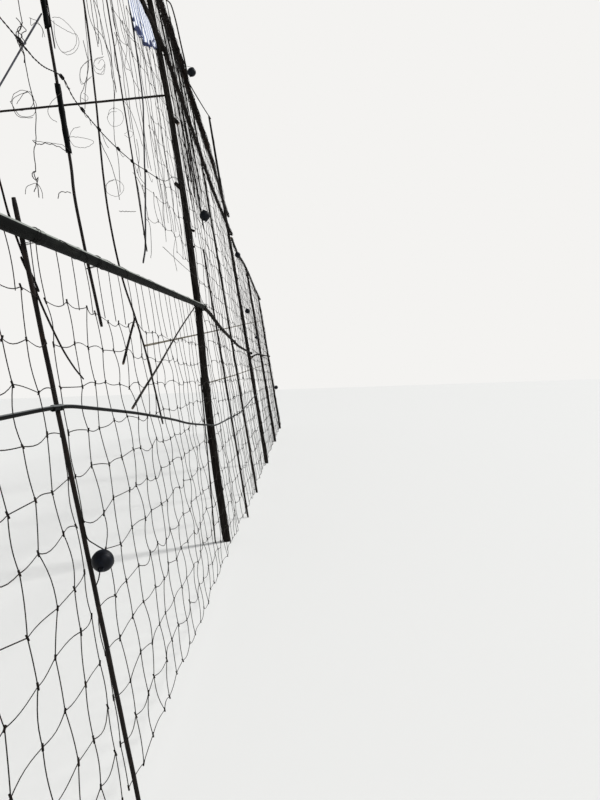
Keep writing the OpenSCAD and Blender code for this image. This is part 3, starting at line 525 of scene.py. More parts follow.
def rod(name, node_name, points, r, r1=None, stands=False, skin=bar, slot="rusty_iron"):
    """A bar through points [u, v, set back], with its skin touching the row's plane from behind."""
    p = np.asarray([[*q, 0.0][:3] for q in points], float)
    if stands:
        p[0, 1] = (p[0, 2] + r - FOOT) * np.tan(LEAN)
    path = curve(p, max(int(distance(p)[-1] / 25), 12))
    s = distance(path)
    thick = r + ((r if r1 is None else r1) - r) * s / s[-1]
    line = np.stack([path[:, 0], path[:, 2] + thick, path[:, 1]], -1)
    return Piece().tubes(line, rod_reach(s, thick), stands=stands).make(name, [skin], slot, node_name)


def near_rail_v(u):
    """The near rail's height at u, which rises evenly from the near end post to the main pole."""
    return 1820 + (2206 - 1820) * u / MAIN


def near_top_v(u):
    """The near top rail's height at u, which rises in the same way."""
    return 4300 + (4775 - 4300) * u / MAIN


def pole_back(place, v):
    """How far back of the row's plane a pole's back lies at height v."""
    return sum(spot(place, v)[1:]) + CLEAR


rod("bar_rod_post", "rod_post", [[ROD + ROD_SLANT * (1 - k / 3), ROD_TALL * k / 3] for k in range(4)], 8, stands=True)
rod("bar_spliced_upright", "spliced_upright",
    [[SPLICED + 50, 1760], [SPLICED + 5, 2020], [SPLICED - 25, 2300], [SPLICED, 2470], [SPLICED, 2800], [SPLICED, 3600],
     [SPLICED, near_top_v(SPLICED) + 60]], 6.5)
rod("bar_second_upright", "second_upright",
    [[4935, 1275], [4820, 1660], [4700, 1870], [4560, 2080], [4520, 2450], [4660, 3050], [4750, 3560],
     [4790, near_top_v(4650) + 60]], 5)
rod("bar_third_upright", "third_upright",
    [[5300, 2330], [5335, 2850], [5355, 3450], [5366, 3950], [5372, near_top_v(5300) + 60]], 4.5)
rod("tube_grey_rod", "grey_rod",
    [[5186, 2240, 10], [5334, 2375, 10], [5484, 2618, 5], [5650, 2887, 0], [5724, 3023, 0], [5929, 3356, 0],
     [6086, 3622, 0], [6157, 3930, 0], [6195, 4250, 0], [6190, near_top_v(6190) + 60, 0]], 5.5, skin=dark_zinc,
    slot="dull_zinc")
u = spot(main_place, PROP_TOP)[0]
rod("bar_beside_main_pole", "rod_beside_main_pole",
    [[u - 0.04 * k, PROP_TOP - k, pole_back(main_place, PROP_TOP) + PROP_SLOPE * k] for k in (PROP_TOP, 760, 0)], 6,
    stands=True)
rod("bar_low_upright", "low_upright", [[8360, 0], [8380, 1000], [8400, 1800], [8380, 2400], [8400, 2970]], 11, 9,
    stands=True)
rod("bar_short_hanging_rod", "short_hanging_rod",
    [[8700, 3640, 30], [8730, 3850, 20], [8680, 4150, 10], [8640, 4720]], 8)

# Hose pieces over the splice, uneven and cut a little aslant: each goes up its outside and down its inside
sleeves = Piece()
f = np.linspace(0, 2 * np.pi, 20, endpoint=False)
for low, tall, seed in ((2500, 297, 1), (3035, 400, 2)):
    s = np.concatenate([np.linspace(low, low + tall, 26), np.linspace(low + tall, low, 26)])
    reach = np.concatenate([12 + sway(s[:26], seed, (90, 41), 0.9), np.full(26, 7.4)])
    ring = np.stack([SPLICED + reach[:, None] * np.cos(f), 6.5 + reach[:, None] * np.sin(f),
                     s[:, None] + 6 * np.sin(f + seed)], -1)
    i = np.arange(len(s) * len(f)).reshape(len(s), len(f))
    j = np.roll(i, -1, 1)
    faces = np.stack([i, j, np.roll(j, -1, 0), np.roll(i, -1, 0)], -1).reshape(-1, 4)
    grain = np.stack(np.broadcast_arrays(4 * np.cos(f), 4 * np.sin(f), s[:, None]), -1).reshape(-1, 3)
    sleeves.add(stand(ring).reshape(-1, 3), grain, [(faces, 0)])
sleeves.make("hose_splice_sleeves", [pipe_plastic], "black_plastic", "splice_sleeves")
rod("bar_splice_splint", "splice_splint",
    [[SPLICED, 2945, -11.8], [SPLICED + 1, 3060, -11.8], [SPLICED, 3195, -11.8]], 3, slot="dull_zinc")


# Rails

def before(path, r):
    """A line of points [u, v] set before the row, where a member of reach r touches its front."""
    path = np.asarray(path, float)
    return np.stack([path[:, 0], np.broadcast_to(-(FRONT + r), len(path)), path[:, 1]], -1)


def timber_rail(name, points, r0, r1, seed, node_name, slot="weathered_wood", skin=rail_bark):
    """A round rail through points [u, v], lashed on before the netting, with seeded knots."""
    p = np.asarray(points, float)
    length = distance(p)[-1]
    path = curve(p, 400)
    s = distance(path)
    even = spaced(s[-1], 30)
    line = np.stack([np.interp(even, s, path[:, k]) for k in (0, 1)], -1)
    r = r0 + (r1 - r0) * even / even[-1]
    rng = np.random.default_rng(seed)
    count = int(length / 420)
    knots = np.stack([rng.uniform(*limits, count) for limits in ((100, length - 100), (0, 6.28), (2, 5))], -1)
    piece = Piece().tubes(before(line, r), timber_reach(even, r, seed, knots, 20), end_mark=1)
    return piece.make(name, [skin, sawn_end], slot, node_name)


RAIL_END = spot(main_place, 2206)[0] + 22
TOP_END = spot(main_place, 4775)[0] + 22
even = spaced(RAIL_END + 140, 12)
u = -140 + even
r = 24 - 3 * even / even[-1]
reach = cane_reach(even, r, 357, 2.6, 24, 3) * (1 + 0.01 * np.sin(even / 700))[:, None]
rail = Piece().tubes(before(np.stack([u, near_rail_v(u)], -1), r), reach, end_mark=1)
rail.make("bamboo_near_rail", [bamboo, sawn_end], "weathered_wood", "near_rail")
second_line = [[RAIL_END + 1, 2200], [7750, 2185], [8483, 2107], [HOOK, 2020], [10692, 1989], [FAR + 150, 1984]]
far_low_line = [[FAR - 100, 1905], [14550, 2021], [SEVENTH, 2085], [END + 110, 2200]]
middle_line = [[TOP_END + 1, near_top_v(TOP_END)], [8200, 4705], [9000, 4565], [HOOK, 4390], [10650, 4255],
               [11370, 4210], [FAR + 120, 4150]]
upper_line = [[spot(main_place, 5590)[0] - 100, 5600], [8300, 5500], [8700, 5430], [9300, 5270], [HOOK, 5150],
              [10700, 5060], [11500, 4900], [12250, 4620], [FAR + 110, 4480]]
far_top_line = [[FAR - 110, 4050], [13800, 3970], [15400, 4050], [SEVENTH, 4040], [18500, 3970], [END + 120, 3940]]
timber_rail("timber_second_rail", second_line, 18, 15, 23, "second_rail")
timber_rail("timber_far_low_rail", far_low_line, 16, 14, 29, "far_low_rail")
timber_rail("timber_near_top_rail", [[k, near_top_v(k)] for k in (-120, 2400, 4900, TOP_END)], 20, 20, 31,
            "near_top_rail")
timber_rail("timber_middle_top_rail", middle_line, 20, 17, 37, "middle_top_rail")
timber_rail("bar_upper_top_rail", upper_line, 19, 16, 41, "upper_top_rail", "rusty_iron", bar)
timber_rail("timber_far_top_rail", far_top_line, 17, 14, 43, "far_top_rail")

# Two thin pale rails behind the poles. The lower begins behind the rod beside the main pole.
backs = Piece()
for start, heights in (([[4830, 0, 1716], [MAIN, pole_back(main_place, 1960), 1960]], (2214, 2508, 2901, 3298, 3310)),
                       ([[MAIN - 40, pole_back(main_place, PROP_TOP) + PROP_SLOPE * 70 + 12.3, PROP_TOP - 70]],
                        (1583, 1690, 1838, 1987, 1991))):
    line = start + [[u, pole_back(place, v), v] for u, place, v in zip(
        (HOOK, FAR, SEVENTH, END), (hook_place, far_place, seventh_place, end_place), heights)]
    line.append([END + 120, line[-1][1], heights[-1]])
    line = np.array(line)
    even = spaced(distance(line)[-1], 40)
    path = np.stack([np.interp(even, distance(line), line[:, k]) for k in range(3)], -1)
    r = 6 + 2 * even / even[-1]
    path[:, 1] += r
    backs.tubes(path, cane_reach(even, r, 310, 0.9, 12), end_mark=1)
backs.make("cane_back_rails", [pale_cane, sawn_end], "grey_cane", "back_rails")

# Canes and sticks on the near bay
path = curve([[4290, 1392], [4576, 1478], [5054, 1618], [5937, 1890], [6850, 2149]], 160)
s = distance(path)
r = 6 - s / s[-1]
brace = Piece().tubes(before(path, r), cane_reach(s, r, 190, 0.9, 12), end_mark=1)
brace.make("cane_brace", [cane, sawn_end], "grey_cane", "brace_cane")
timber_rail("stick_short", [[4260, 1600], [4470, 1740], [4640, 1850]], 6, 5, 47, "short_stick")
for name, back, points in (
        ("upper", 19.6, [[120, 1835], [95, 1870], [50, 1925], [-18, 2048], [-47, 2152], [-85, 2290]]),
        ("lower", 27.9, [[40, 1940], [95, 1870], [146, 1794], [209, 1716], [281, 1641], [365, 1579], [444, 1537]])):
    path = curve([[ROD + p, back, q] for p, q in points], 40)
    r = np.linspace(4, 3, 40)
    path[:, 1] += r
    stick = Piece().tubes(path, timber_reach(distance(path), r, 53, [(120, 1.0, 2), (250, 4.0, 1.5)], 12), end_mark=1)
    stick.make("stick_near_" + name, [rail_bark, sawn_end], "weathered_wood", "near_stick_" + name)

# Tie bar and raking stay, which go back from the row
u, w, r = spot(main_place, 4385)
turn = np.radians(8)
lean_back = np.array([np.sin(turn), np.cos(turn) * np.cos(LEAN), np.cos(turn) * np.sin(LEAN)])
path = np.array([u, w + r + CLEAR + 1, 4385]) + np.linspace(0, 1950, 70)[:, None] * lean_back
tie_bar = Piece().tubes(path, rod_reach(distance(path), 11, 16), beside=(0, 0, 1))
tie_bar.make("bar_tie_bar", [bar], "rusty_iron", "tie_bar")
slope = np.radians(58)
away = np.array([0.0, np.cos(slope - LEAN), -np.sin(slope - LEAN)])
start = np.array([SPLICED, 6.5 + 12 + CLEAR + 4 * np.sin(slope - LEAN), 3100])
reach_down = (start[2] - (start[1] - FOOT) * np.tan(LEAN)) / (-away[2] + away[1] * np.tan(LEAN))
path = start + np.linspace(0, reach_down, 120)[:, None] * away
stay = Piece().tubes(path, rod_reach(distance(path), 4, 12), beside=(1, 0, 0))
stay.make("tube_raking_stay", [zinc], "dull_zinc", "raking_stay")

# Pipe, with its coupling: a sleeve between two ribbed nuts
pipe_line = [[-90, 1350], [1700, 1390], [2900, 1426], [3276, 1437], [3476, 1437], [3700, 1421], [4110, 1387],
             [4400, 1361], [4820, 1319], [5210, 1277], [5690, 1221], [6526, 1149], [6940, 1120], [7700, 1112],
             [8500, 1108], [9300, 1112], [10500, 1160], [11700, 1215], [12900, 1250]]
pipe = Piece().tubes(before(curve(pipe_line, 420), 7.0), np.full((420, 16), 7.0))
pipe.make("hose_black_pipe", [pipe_plastic], "black_plastic", "black_pipe")
s = np.linspace(0, 84, 85)
f = np.linspace(0, 2 * np.pi, 48, endpoint=False)
nut = np.clip(np.minimum(s, 84 - s) - 2, 0, 1) * np.clip(24 - np.minimum(s, 84 - s), 0, 1)
reach = (8.4 + 2.2 * nut)[:, None] + 0.7 * nut[:, None] * np.sign(np.sin(12 * f))
reach = reach + np.exp(-((s - 42) / 5) ** 2)[:, None]
coupling = Piece().tubes(before(np.stack([3334 + s, np.full(85, 1437.0)], -1), 7.0), reach)
coupling.make("moulded_pipe_coupling", [pipe_plastic], "black_plastic", "pipe_coupling")


# Netting

def wires(piece, a, b, bow, r, sides=4, steps=6):
    """Wires from crossings a to crossings b, each bowed by its own amount: a + (b - a) t + bow sin(pi t)."""
    t = np.linspace(0, 1, steps + 1)[:, None]
    path = a[:, None] + (b - a)[:, None] * t + bow[:, None] * np.sin(np.pi * t)
    piece.tubes(path, np.full((steps + 1, sides), r))


def netting(u, v, r, seed, rails, loose, bulge, keep=None, bend=None):
    """Field netting on a grid of crossings, v of each row given at each column. Between posts and rails it
    bellies: w = -2 - bulge pin (0.6 + 0.13 times three sines of u and v), where pin is the product of
    1 - exp(-(d/c)^2) over the distances d to the two edges, with c = 110, and to the rails, with c = 90, and bend
    moves it along the row to follow a bowed pole. Each crossing is off by about loose, and each wire between two
    crossings bows by up to about a tenth of its length, so the strands kink at their knots as bent wire does."""
    rng = np.random.default_rng(seed)
    v = np.broadcast_to(v, (len(u), np.shape(v)[-1]))
    uu = np.broadcast_to(u[:, None], v.shape)
    pin = (1 - np.exp(-((uu - u[0]) / 110) ** 2)) * (1 - np.exp(-((uu - u[-1]) / 110) ** 2))
    for height in rails:
        pin = pin * (1 - np.exp(-((v - height(uu)) / 90) ** 2))
    a, b, c = rng.uniform(0, 6.28, 3)
    wave = np.sin(uu / 310 + v / 520 + a) + np.sin(uu / 170 - v / 390 + b) + np.sin(v / 230 + c)
    w = -2 - bulge * pin * (0.6 + 0.13 * wave) + rng.uniform(-0.5, 0.5, v.shape) * loose * pin
    off = rng.uniform(-1, 1, v.shape + (2,)) * loose * (0.25 + 0.75 * pin)[..., None]
    at = np.stack([uu + off[..., 0] + 0.5 * loose * np.sin(v / 400 + b) * pin, w, v + off[..., 1]], -1)
    if bend:
        at[..., 0] += bend(uu, v)
    keep = np.ones(v.shape, bool) if keep is None else keep
    piece = Piece()
    for i, j in ((0, 1), (1, 0)):
        start, end = at[:len(u) - i, :v.shape[1] - j], at[i:, j:]
        held = (keep[:len(u) - i, :v.shape[1] - j] & keep[i:, j:]).ravel()
        start, end = start.reshape(-1, 3)[held], end.reshape(-1, 3)[held]
        size = np.linalg.norm(end - start, axis=1)[:, None]
        bow = rng.uniform(-0.1, 0.1, start.shape) * size * (1.0, 0.5, 1.0)
        bow[:, 2 if j else 0] *= 0.2
        bow[:, 2] -= 0.03 * size[:, 0] * i
        wires(piece, start, end, bow, r)
    knots = at[keep]
    d = rng.uniform(-0.3, 0.3, knots.shape) + (0, 0, 1)
    wires(piece, knots - 9 * d, knots + 9 * d, 0 * d, 1.9 * r, 5, 2)
    return piece


def grid(low, high, mesh):
    """Even places from low to high, as many whole meshes as fit."""
    return np.linspace(low, high, int((high - low) / mesh) + 1)


def rail_at(points):
    """The height of a rail through points [u, v], as a function of u."""
    p = np.asarray(points, float)
    return lambda u: np.interp(u, p[:, 0], p[:, 1])


second, middle, upper = rail_at(second_line), rail_at(middle_line), rail_at(upper_line)
far_low, far_top = rail_at(far_low_line), rail_at(far_top_line)


def hung(bay, low, high, top, rails, bend=None):
    """The whole panel of a far bay, in meshes of 190 mm."""
    piece = netting(grid(low, high, 190), grid(150, top, 190)[None, :], 2.3, 60 + bay, rails, 13, 34, bend=bend)
    return piece.make(f"wire_net_bay_{bay}", [net_wire], "net_wire", f"net_bay_{bay}")


def near_panel(bay, low, high):
    """The low panel of a near bay: rows up to 1800, and each upright wire on to the near rail."""
    u, v = grid(low, high, 160), grid(150, 1800, 150)
    piece = netting(u, v[None, :], 1.7, 60 + bay, [near_rail_v], 20, 24)
    front = np.full(len(u), -2.0)
    ends = np.stack([u + np.random.default_rng(60 + bay).uniform(-22, 22, len(u)), front, near_rail_v(u) + 26], -1)
    bow = np.random.default_rng(61 + bay).uniform(-14, 14, ends.shape) * (1, 0.4, 0.2)
    wires(piece, np.stack([u, front, np.full(len(u), v[-1])], -1), ends, bow, 1.7, 4, 8)
    return piece.make(f"wire_net_bay_{bay}", [net_wire], "net_wire", f"net_bay_{bay}")


near_panel(1, 72, 3396)
near_panel(2, 3460, 7278)
hung(3, 7422, 9828, 5560, [second, middle, upper], lambda u, v: (main_place(v)[0] - MAIN) * (9828 - u) / 2406)
hung(4, 9972, 12778, 5060, [second, middle, upper])
hung(5, 12922, 16728, 4000, [far_low, far_top])
hung(6, 16872, 20728, 3980, [far_low, far_top])

# The torn upper panel by the main pole: its rows rise towards the pole, and it ends in a ragged edge
u = grid(5480, 7278, 160)
at_pole = np.array([2600, 2770, 2990, 3185, 3370, 3570, 3730, 3900, 4070, 4250, 4420, 4600, 4780])
v = at_pole[None, :] - 0.17 * (7278 - u)[:, None] * np.linspace(0.55, 1.1, len(at_pole))[None, :]
v[:, -1] = near_top_v(u)
start = np.array([6300, 5480, 5480, 6100, 5900, 5950, 6100, 6250, 5480, 5480, 5700, 6100, 5480])
keep = u[:, None] >= start[None, :] - 40
torn = netting(u, v, 1.5, 67, [near_top_v], 22, 30, keep, lambda u, v: (main_place(v)[0] - MAIN) * (u - 5480) / 1798)
torn.make("wire_torn_panel", [net_wire], "net_wire", "torn_net")


def loose_wires(name, lines, r, skin, slot, *nodes, seed=0, crimp=0.0):
    """Wires through points [u, v] or [u, w, v], each crimped by short sines across its way."""
    piece = Piece()
    for k, points in enumerate(lines):
        p = np.asarray(points, float)
        if p.shape[1] == 2:
            p = np.stack([p[:, 0], sway(p[:, 1], seed + k, (830, 370), 9) - 7, p[:, 1]], -1)
        path = curve(p, max(int(distance(p)[-1] / 14), 10))
        s = distance(path)
        path[:, 0] += sway(s, seed + 7 * k, (97, 41), crimp)
        path[:, 2] += sway(s, seed + 7 * k + 3, (83, 37), crimp)
        piece.tubes(path, np.full((len(path), 5), r))
    return piece.make(name, [skin], slot, *nodes)


# Two-strand tension wire, twisted with a lay of 60 mm, with eight coiled knots and a loose end at each
tension = np.array([[0, 2700], [1800, 2740], [3480, 2764], [3800, 2771], [4080, 2847], [4245, 2806], [4726, 2819],
                    [5269, 2884], [5676, 2959], [6088, 3037], [6350, 3097], [6551, 3160], [7000, 3330],
                    [spot(main_place, 3470)[0], 3470]])
path = curve(tension, 1000)
s = distance(path)
strands = Piece()
for half in (0, np.pi):
    turn = 2 * np.pi * s / 60 + half
    strand = np.stack([path[:, 0], -3.2 + 1.5 * np.cos(turn), path[:, 1] + 1.5 * np.sin(turn)], -1)
    strands.tubes(strand, np.full((len(s), 5), 1.6))
for k, at in enumerate((3630, 4080, 4330, 4580, 4950, 5270, 5700, 6080)):
    rng = np.random.default_rng(700 + k)
    t = np.linspace(0, 1, 70)
    level = np.interp(at, tension[:, 0], tension[:, 1])
    coil = np.stack([at + 34 * (t - 0.5), -2.8 + 6.5 * np.cos(34 * t), level + 6.5 * np.sin(34 * t)], -1)
    strands.tubes(coil, np.full((70, 5), 1.5), beside=(0, 0.3, 1))
    ends = [[at + rng.uniform(-22, 22), -3 - 10 * q, level - q * rng.uniform(14, 40)] for q in range(4)]
    strands.tubes(curve(ends, 16), np.full((16, 4), 1.2))
strands.make("wire_tension_strand", [tie_wire], "dark_wire", "tension_wire")
path = np.array([[5840, -2.3, 2470], [6600, -2.3, 2474], [7350, -2.3, 2490], [7900, -2.3, 2492], [8410, -2.3, 2500]])
loose_wires("wire_middle_strand", [path], 2.0, tie_wire, "dark_wire", "middle_wire", seed=12, crimp=1.5)

# Top rope of three strands: its reach is 8 (0.84 + 0.16 cos 3(f - 2 pi s / 32))
a, b = np.array([HOOK - 18, -5.3, 5496]), np.array([FAR + 22, -5.3, 6240])
t = np.linspace(0, 1, 700)[:, None]
path = a + (b - a) * t - np.array([0, 0, 18]) * 4 * t * (1 - t)
s = distance(path)
f = np.linspace(0, 2 * np.pi, 12, endpoint=False)
line = Piece().tubes(path, 8 * (0.84 + 0.16 * np.cos(3 * (f - 2 * np.pi * s[:, None] / 32))))
line.make("rope_top", [rope], "dark_rope", "top_rope")


def winding(piece, path, reach, pitch, seed, r, wild=0.3, step=12):
    """A wire wound round a member: path + reach (1 + wild sines) (cos a, sin a) across it, a = 2 pi s / pitch."""
    s = np.arange(0, distance(path)[-1], step)
    line = np.stack([np.interp(s, distance(path), path[:, k]) for k in range(3)], -1)
    rng = np.random.default_rng(seed)
    turn = 2 * np.pi * s / pitch + rng.uniform(0, 6.28) + sway(s, seed, (610, 270), 1.8)
    out = np.interp(s, np.linspace(0, s[-1], np.size(reach)), np.atleast_1d(reach))
    out = out * (1 + sway(s, seed + 1, (330, 140, 60), wild))
    line[:, 1] += out * np.cos(turn)
    line[:, 2] += out * np.sin(turn)
    piece.tubes(line, np.full((len(s), 3), r))


# Roll of rusted netting on the upper top rail: crumpled wires wound at many pitches round a matted heart, and
# loose folds, which hang below it by up to 320 exp(-x/800) at x along them
COUNT = 320
roll = curve([[p, -(FRONT + 20), q - 10] for p, q in upper_line[1:7]], COUNT)
girth = 39 + sway(np.linspace(0, 3400, COUNT), 71, (900, 420, 190), 11)
bundle = Piece()
f = np.linspace(0, 2 * np.pi, 14, endpoint=False)
s = distance(roll)
heart = 0.66 * girth[:, None] * (1 + 0.16 * np.sin(3 * f + s[:, None] / 60) + 0.1 * np.sin(5 * f - s[:, None] / 33))
bundle.tubes(roll, heart * (1 - 0.8 * np.exp(-s / 60) - 0.8 * np.exp(-(s[-1] - s) / 60))[:, None])
rng = np.random.default_rng(72)
for k in range(60):
    low = rng.uniform(0, 0.35) if k % 3 else 0
    high = rng.uniform(0.65, 1) if k % 4 else 1
    pick = slice(int(low * (COUNT - 1)), int(high * (COUNT - 1)) + 1)
    winding(bundle, roll[pick], girth[pick] * rng.uniform(0.7, 1.0), rng.choice([-1, 1]) * rng.uniform(150, 900),
            730 + k, 1.5, 0.2)
folds = curve([[p, -(FRONT + 20), q] for p, q in ((7690, 5590), (8300, 5500), (8700, 5430), (9300, 5270))], 260)
for k in range(76):
    part = folds[int(rng.uniform(0, 50)):int(rng.uniform(120, 259))].copy()
    part[:, 2] -= rng.uniform(0, 320) * np.exp(-(part[:, 0] - 7690) / 800)
    winding(bundle, part, rng.uniform(14, 32), rng.choice([-1, 1]) * rng.uniform(110, 420), 830 + k, 1.7, 0.3)
bundle.make("wire_rolled_net", [rusty_wire], "rusty_net", "rolled_net")

# Net remains and ties wound along the top rails and the near rail
remains = Piece()
near_line = [[3400, near_top_v(3400)], [5300, near_top_v(5300)], [TOP_END - 30, near_top_v(TOP_END)]]
for points, r, pairs, seed in ((near_line, 20, 7, 80), (middle_line, 19, 10, 81), (upper_line[5:], 17, 7, 82),
                               (upper_line[:2], 19, 6, 83), (far_top_line, 15, 4, 84)):
    path = before(curve(points, 240), r)
    for k in range(pairs):
        pick = np.random.default_rng(seed * 10 + k)
        winding(remains, path, r + pick.uniform(1, 11), pick.choice([-1, 1]) * pick.uniform(130, 520),
                seed * 10 + k, 1.5, 0.22, 16)
remains.make("wire_net_remains", [rusty_wire], "rusty_net")
u = np.linspace(3560, 7250, 240)
ties = Piece()
winding(ties, before(np.stack([u, near_rail_v(u)], -1), 22.5), 23.5, 2 * 357, 90, 1.3, 0.03, 14)
ties.make("wire_rail_ties", [tie_wire], "dark_wire")

# Old twine net left hanging by the main pole, in diamonds 50 mm wide and 176 mm high, gathered as it hangs
gap, tall = 25.0, 88.0
v = np.arange(2900, 5480, 22.0)
columns = np.arange(54)[:, None]
zigzag = 2 * np.abs((v / tall) % 2 - 1) - 1
across = main_place(v)[0] + 66 + columns * gap + (-1.0) ** columns * zigzag * gap / 2
across = across + sway(v + 3 * columns, 95, (900, 410), 26)
lower = 5480 - (2580 - 500 * np.sin(columns / 7.0) - 24 * columns)
path = np.stack([across, -4 - 14 * (1 + np.sin(columns / 2.3 + v / 420)), np.broadcast_to(v, across.shape)], -1)
cells = np.stack([path[:, :-1].reshape(-1, 3), path[:, 1:].reshape(-1, 3)], 1)[(v[None, :-1] > lower).reshape(-1)]
net = Piece().tubes(cells, np.full((2, 3), 2.3))
# Its torn edge, three strands tied to the hooked pole and to its bent tip
for k, (off, r) in enumerate(((0, 4.0), (-30, 3.0), (28, 2.5))):
    strand = curve([[8896, 9, 6032], [8830, -2, 5900 + off], [8850, -8, 5750 + off], [9060, -8, 5646 + off],
                    [9273, -8, 5609 + off], [9480, -8, 5560 + off], [9700, -8, 5510 + off], [9882, -2, 5470 + off]],
                   280)
    s = distance(strand)
    loose = np.minimum(1, np.minimum(s, s[-1] - s) / 60)
    strand[:, 2] += (15 * (2 * np.abs((s / 44 + k / 2) % 2 - 1) - 1) + sway(s, 97 + k, (310, 140), 6)) * loose
    net.tubes(strand, np.full((280, 4), r))
net.make("twine_net_remnant", [twine], "net_wire")

# Wires torn from the near bays, hanging and curled
loose_wires("wire_torn_ends", [
    [[3669, 2939], [3668, 2897], [3675, 2854], [3628, 2794], [3633, 2763], [3662, 2739], [3664, 2706], [3664, 2646],
     [3669, 2601], [3659, 2555], [3660, 2516], [3621, 2448], [3601, 2393], [3561, 2333], [3548, 2264], [3525, 2245],
     [3537, 2217], [3531, 2164]],
    [[3632, 2850], [3675, 2852], [3621, 2800], [3664, 2801], [3602, 2750], [3624, 2744], [3618, 2769], [3606, 2781],
     [3657, 2827], [3690, 2868]],
    [[3640, 2830], [3690, 2838], [3640, 2790], [3680, 2780], [3610, 2740], [3650, 2725], [3640, 2690]],
    [[3528, 2257], [3493, 2232], [3514, 2221], [3546, 2238], [3512, 2197], [3485, 2171]],
    [[3598, 2392], [3650, 2396], [3731, 2430], [3835, 2462], [3935, 2483], [4010, 2487]],
    [[4523, 3242], [4552, 3181], [4555, 3127], [4417, 2971], [4322, 2866], [4333, 2833]],
    [[4885, 3507], [5045, 3531], [5099, 3488], [5126, 3394], [5037, 3222], [4983, 3111], [4921, 2971], [4882, 2871],
     [4906, 2778], [4872, 2654], [4791, 2552]],
    [[4545, 2745], [4592, 2711], [4663, 2684], [4707, 2635], [4721, 2564], [4713, 2487]],
    [[4950, 3698], [5024, 3665], [5010, 3570], [5027, 3497], [5104, 3460]],
    [[5658, 3994], [5829, 3984], [6132, 4064], [6359, 4080], [6573, 4097]],
    [[5333, 3716], [5507, 3704], [5654, 3664], [5753, 3615], [5952, 3620]],
    [[5323, 3288], [5474, 3301], [5583, 3273], [5654, 3220], [5709, 3138]],
    [[5226, 2802], [5391, 2791], [5512, 2736]],
    [[4700, 3600], [4680, 3405], [4620, 3235], [4500, 3050], [4400, 2930], [4330, 2810]],
    [[5060, 4600], [5090, 4200], [5060, 3760], [5050, 3630], [5070, 3495], [5130, 3465], [5060, 3315], [5090, 3265],
     [4990, 3090]],
    [[4770, 3700], [4770, 3515], [4850, 3475], [4950, 3470], [4970, 3395]],
    [[5420, 4400], [5400, 3780], [5300, 3600], [5260, 3475], [5360, 3445]],
    [[5690, 4550], [5690, 4140], [5640, 3910], [5680, 3800], [5540, 3610], [5690, 3650]],
    [[3930, 2300], [3790, 2260], [3740, 2220]],
    [[4690, 2420], [5100, 2525]],
    [[5300, 3040], [5260, 2890], [5250, 2755], [5280, 2665], [5290, 2505], [5240, 2420]],
    [[5510, 3110], [5490, 2990], [5350, 2830], [5500, 2810]],
    [[6190, 3060], [6150, 2900], [6040, 2710], [5990, 2535]],
    [[5360, 2555], [5470, 2535], [5390, 2375], [5300, 2285]],
    [[6480, 2680], [6230, 2500], [6200, 2355]],
], 1.6, net_wire, "net_wire", seed=900, crimp=2.4)
loose_wires("wire_curled_ends", [
    [[4000, 2741], [3872, 2647], [3815, 2587], [3838, 2569], [3906, 2580]],
    [[4218, 2683], [4102, 2628], [4020, 2558], [4060, 2540], [4162, 2568], [4279, 2613], [4398, 2676], [4371, 2680],
     [4189, 2624], [4025, 2565]],
    [[3412, 2142], [3441, 2176], [3539, 2217], [3576, 2202], [3573, 2172]],
    [[4060, 3095], [4214, 3178], [4377, 3226], [4440, 3225], [4417, 3177], [4311, 3087], [4150, 2989], [4080, 2975],
     [4052, 3008], [4075, 3090]],
    [[4053, 3088], [4144, 3113], [4261, 3154], [4373, 3196], [4451, 3229], [4470, 3195], [4380, 3110], [4230, 3020],
     [4130, 2985]],
    [[3454, 2467], [3510, 2523], [3605, 2575], [3670, 2580], [3703, 2561], [3657, 2508], [3560, 2461], [3495, 2447],
     [3450, 2470]],
    [[3487, 2474], [3549, 2532], [3625, 2577], [3655, 2565], [3619, 2520], [3544, 2477], [3480, 2450]],
    [[3620, 2578], [3480, 2490], [3470, 2445], [3510, 2440], [3640, 2490]],
    [[3790, 2940], [3780, 2905], [3840, 2950], [3910, 2970], [3930, 2940]],
    [[3776, 2932], [3845, 2963], [3898, 2972], [3918, 2959], [3898, 2923]],
    [[4562, 3160], [4413, 3051], [4348, 2976], [4377, 2955], [4493, 3026], [4581, 3086]],
    [[4650, 3210], [4450, 3070], [4380, 2990], [4385, 2955], [4580, 3080]],
    [[4960, 3376], [4775, 3267], [4694, 3195], [4705, 3168], [4813, 3209], [4929, 3287], [4985, 3354], [4925, 3347],
     [4820, 3270]],
    [[4990, 3395], [4760, 3265], [4700, 3200], [4830, 3240], [4980, 3345], [4880, 3240], [4730, 3175]],
    [[4791, 2957], [4884, 3040], [5049, 3121], [5230, 3173], [5225, 3128], [5080, 3034], [4867, 2944], [4791, 2957],
     [4900, 3035], [5060, 3105]],
    [[5150, 3007], [5315, 3089], [5395, 3101], [5279, 3031], [5145, 2999]],
    [[4519, 2503], [4608, 2556], [4745, 2604], [4872, 2621], [4884, 2591], [4751, 2519], [4602, 2484], [4532, 2482],
     [4560, 2530], [4700, 2590]],
    [[3598, 2392], [3642, 2403], [3751, 2439], [3909, 2489], [3938, 2492], [4000, 2498], [4030, 2492]],
    [[4390, 2915], [4460, 2930], [4430, 2895], [4340, 2870]],
], 1.0, net_wire, "net_wire", seed=950, crimp=1.2)

# Crinkled upright wires of the lost netting, which hang from the near top rail and end one by one
upright = []
for k, u in enumerate(np.arange(4860, 7120, 150.0)):
    pick = np.random.default_rng(1000 + k)
    foot = max(2650, 3250 - 0.25 * (u - 4860) + pick.uniform(-260, 420))
    level = np.arange(near_top_v(u) - 12, foot, -150.0)
    across = u + (main_place(level)[0] - MAIN) * (u - 4860) / 2260
    across = across + np.cumsum(pick.uniform(-26, 26, len(level))) + pick.uniform(-50, 50)
    upright.append(np.stack([across, level], -1))
loose_wires("wire_hanging_uprights", upright, 1.9, net_wire, "net_wire", seed=960, crimp=3.4)


# Floats, lashings and cloth

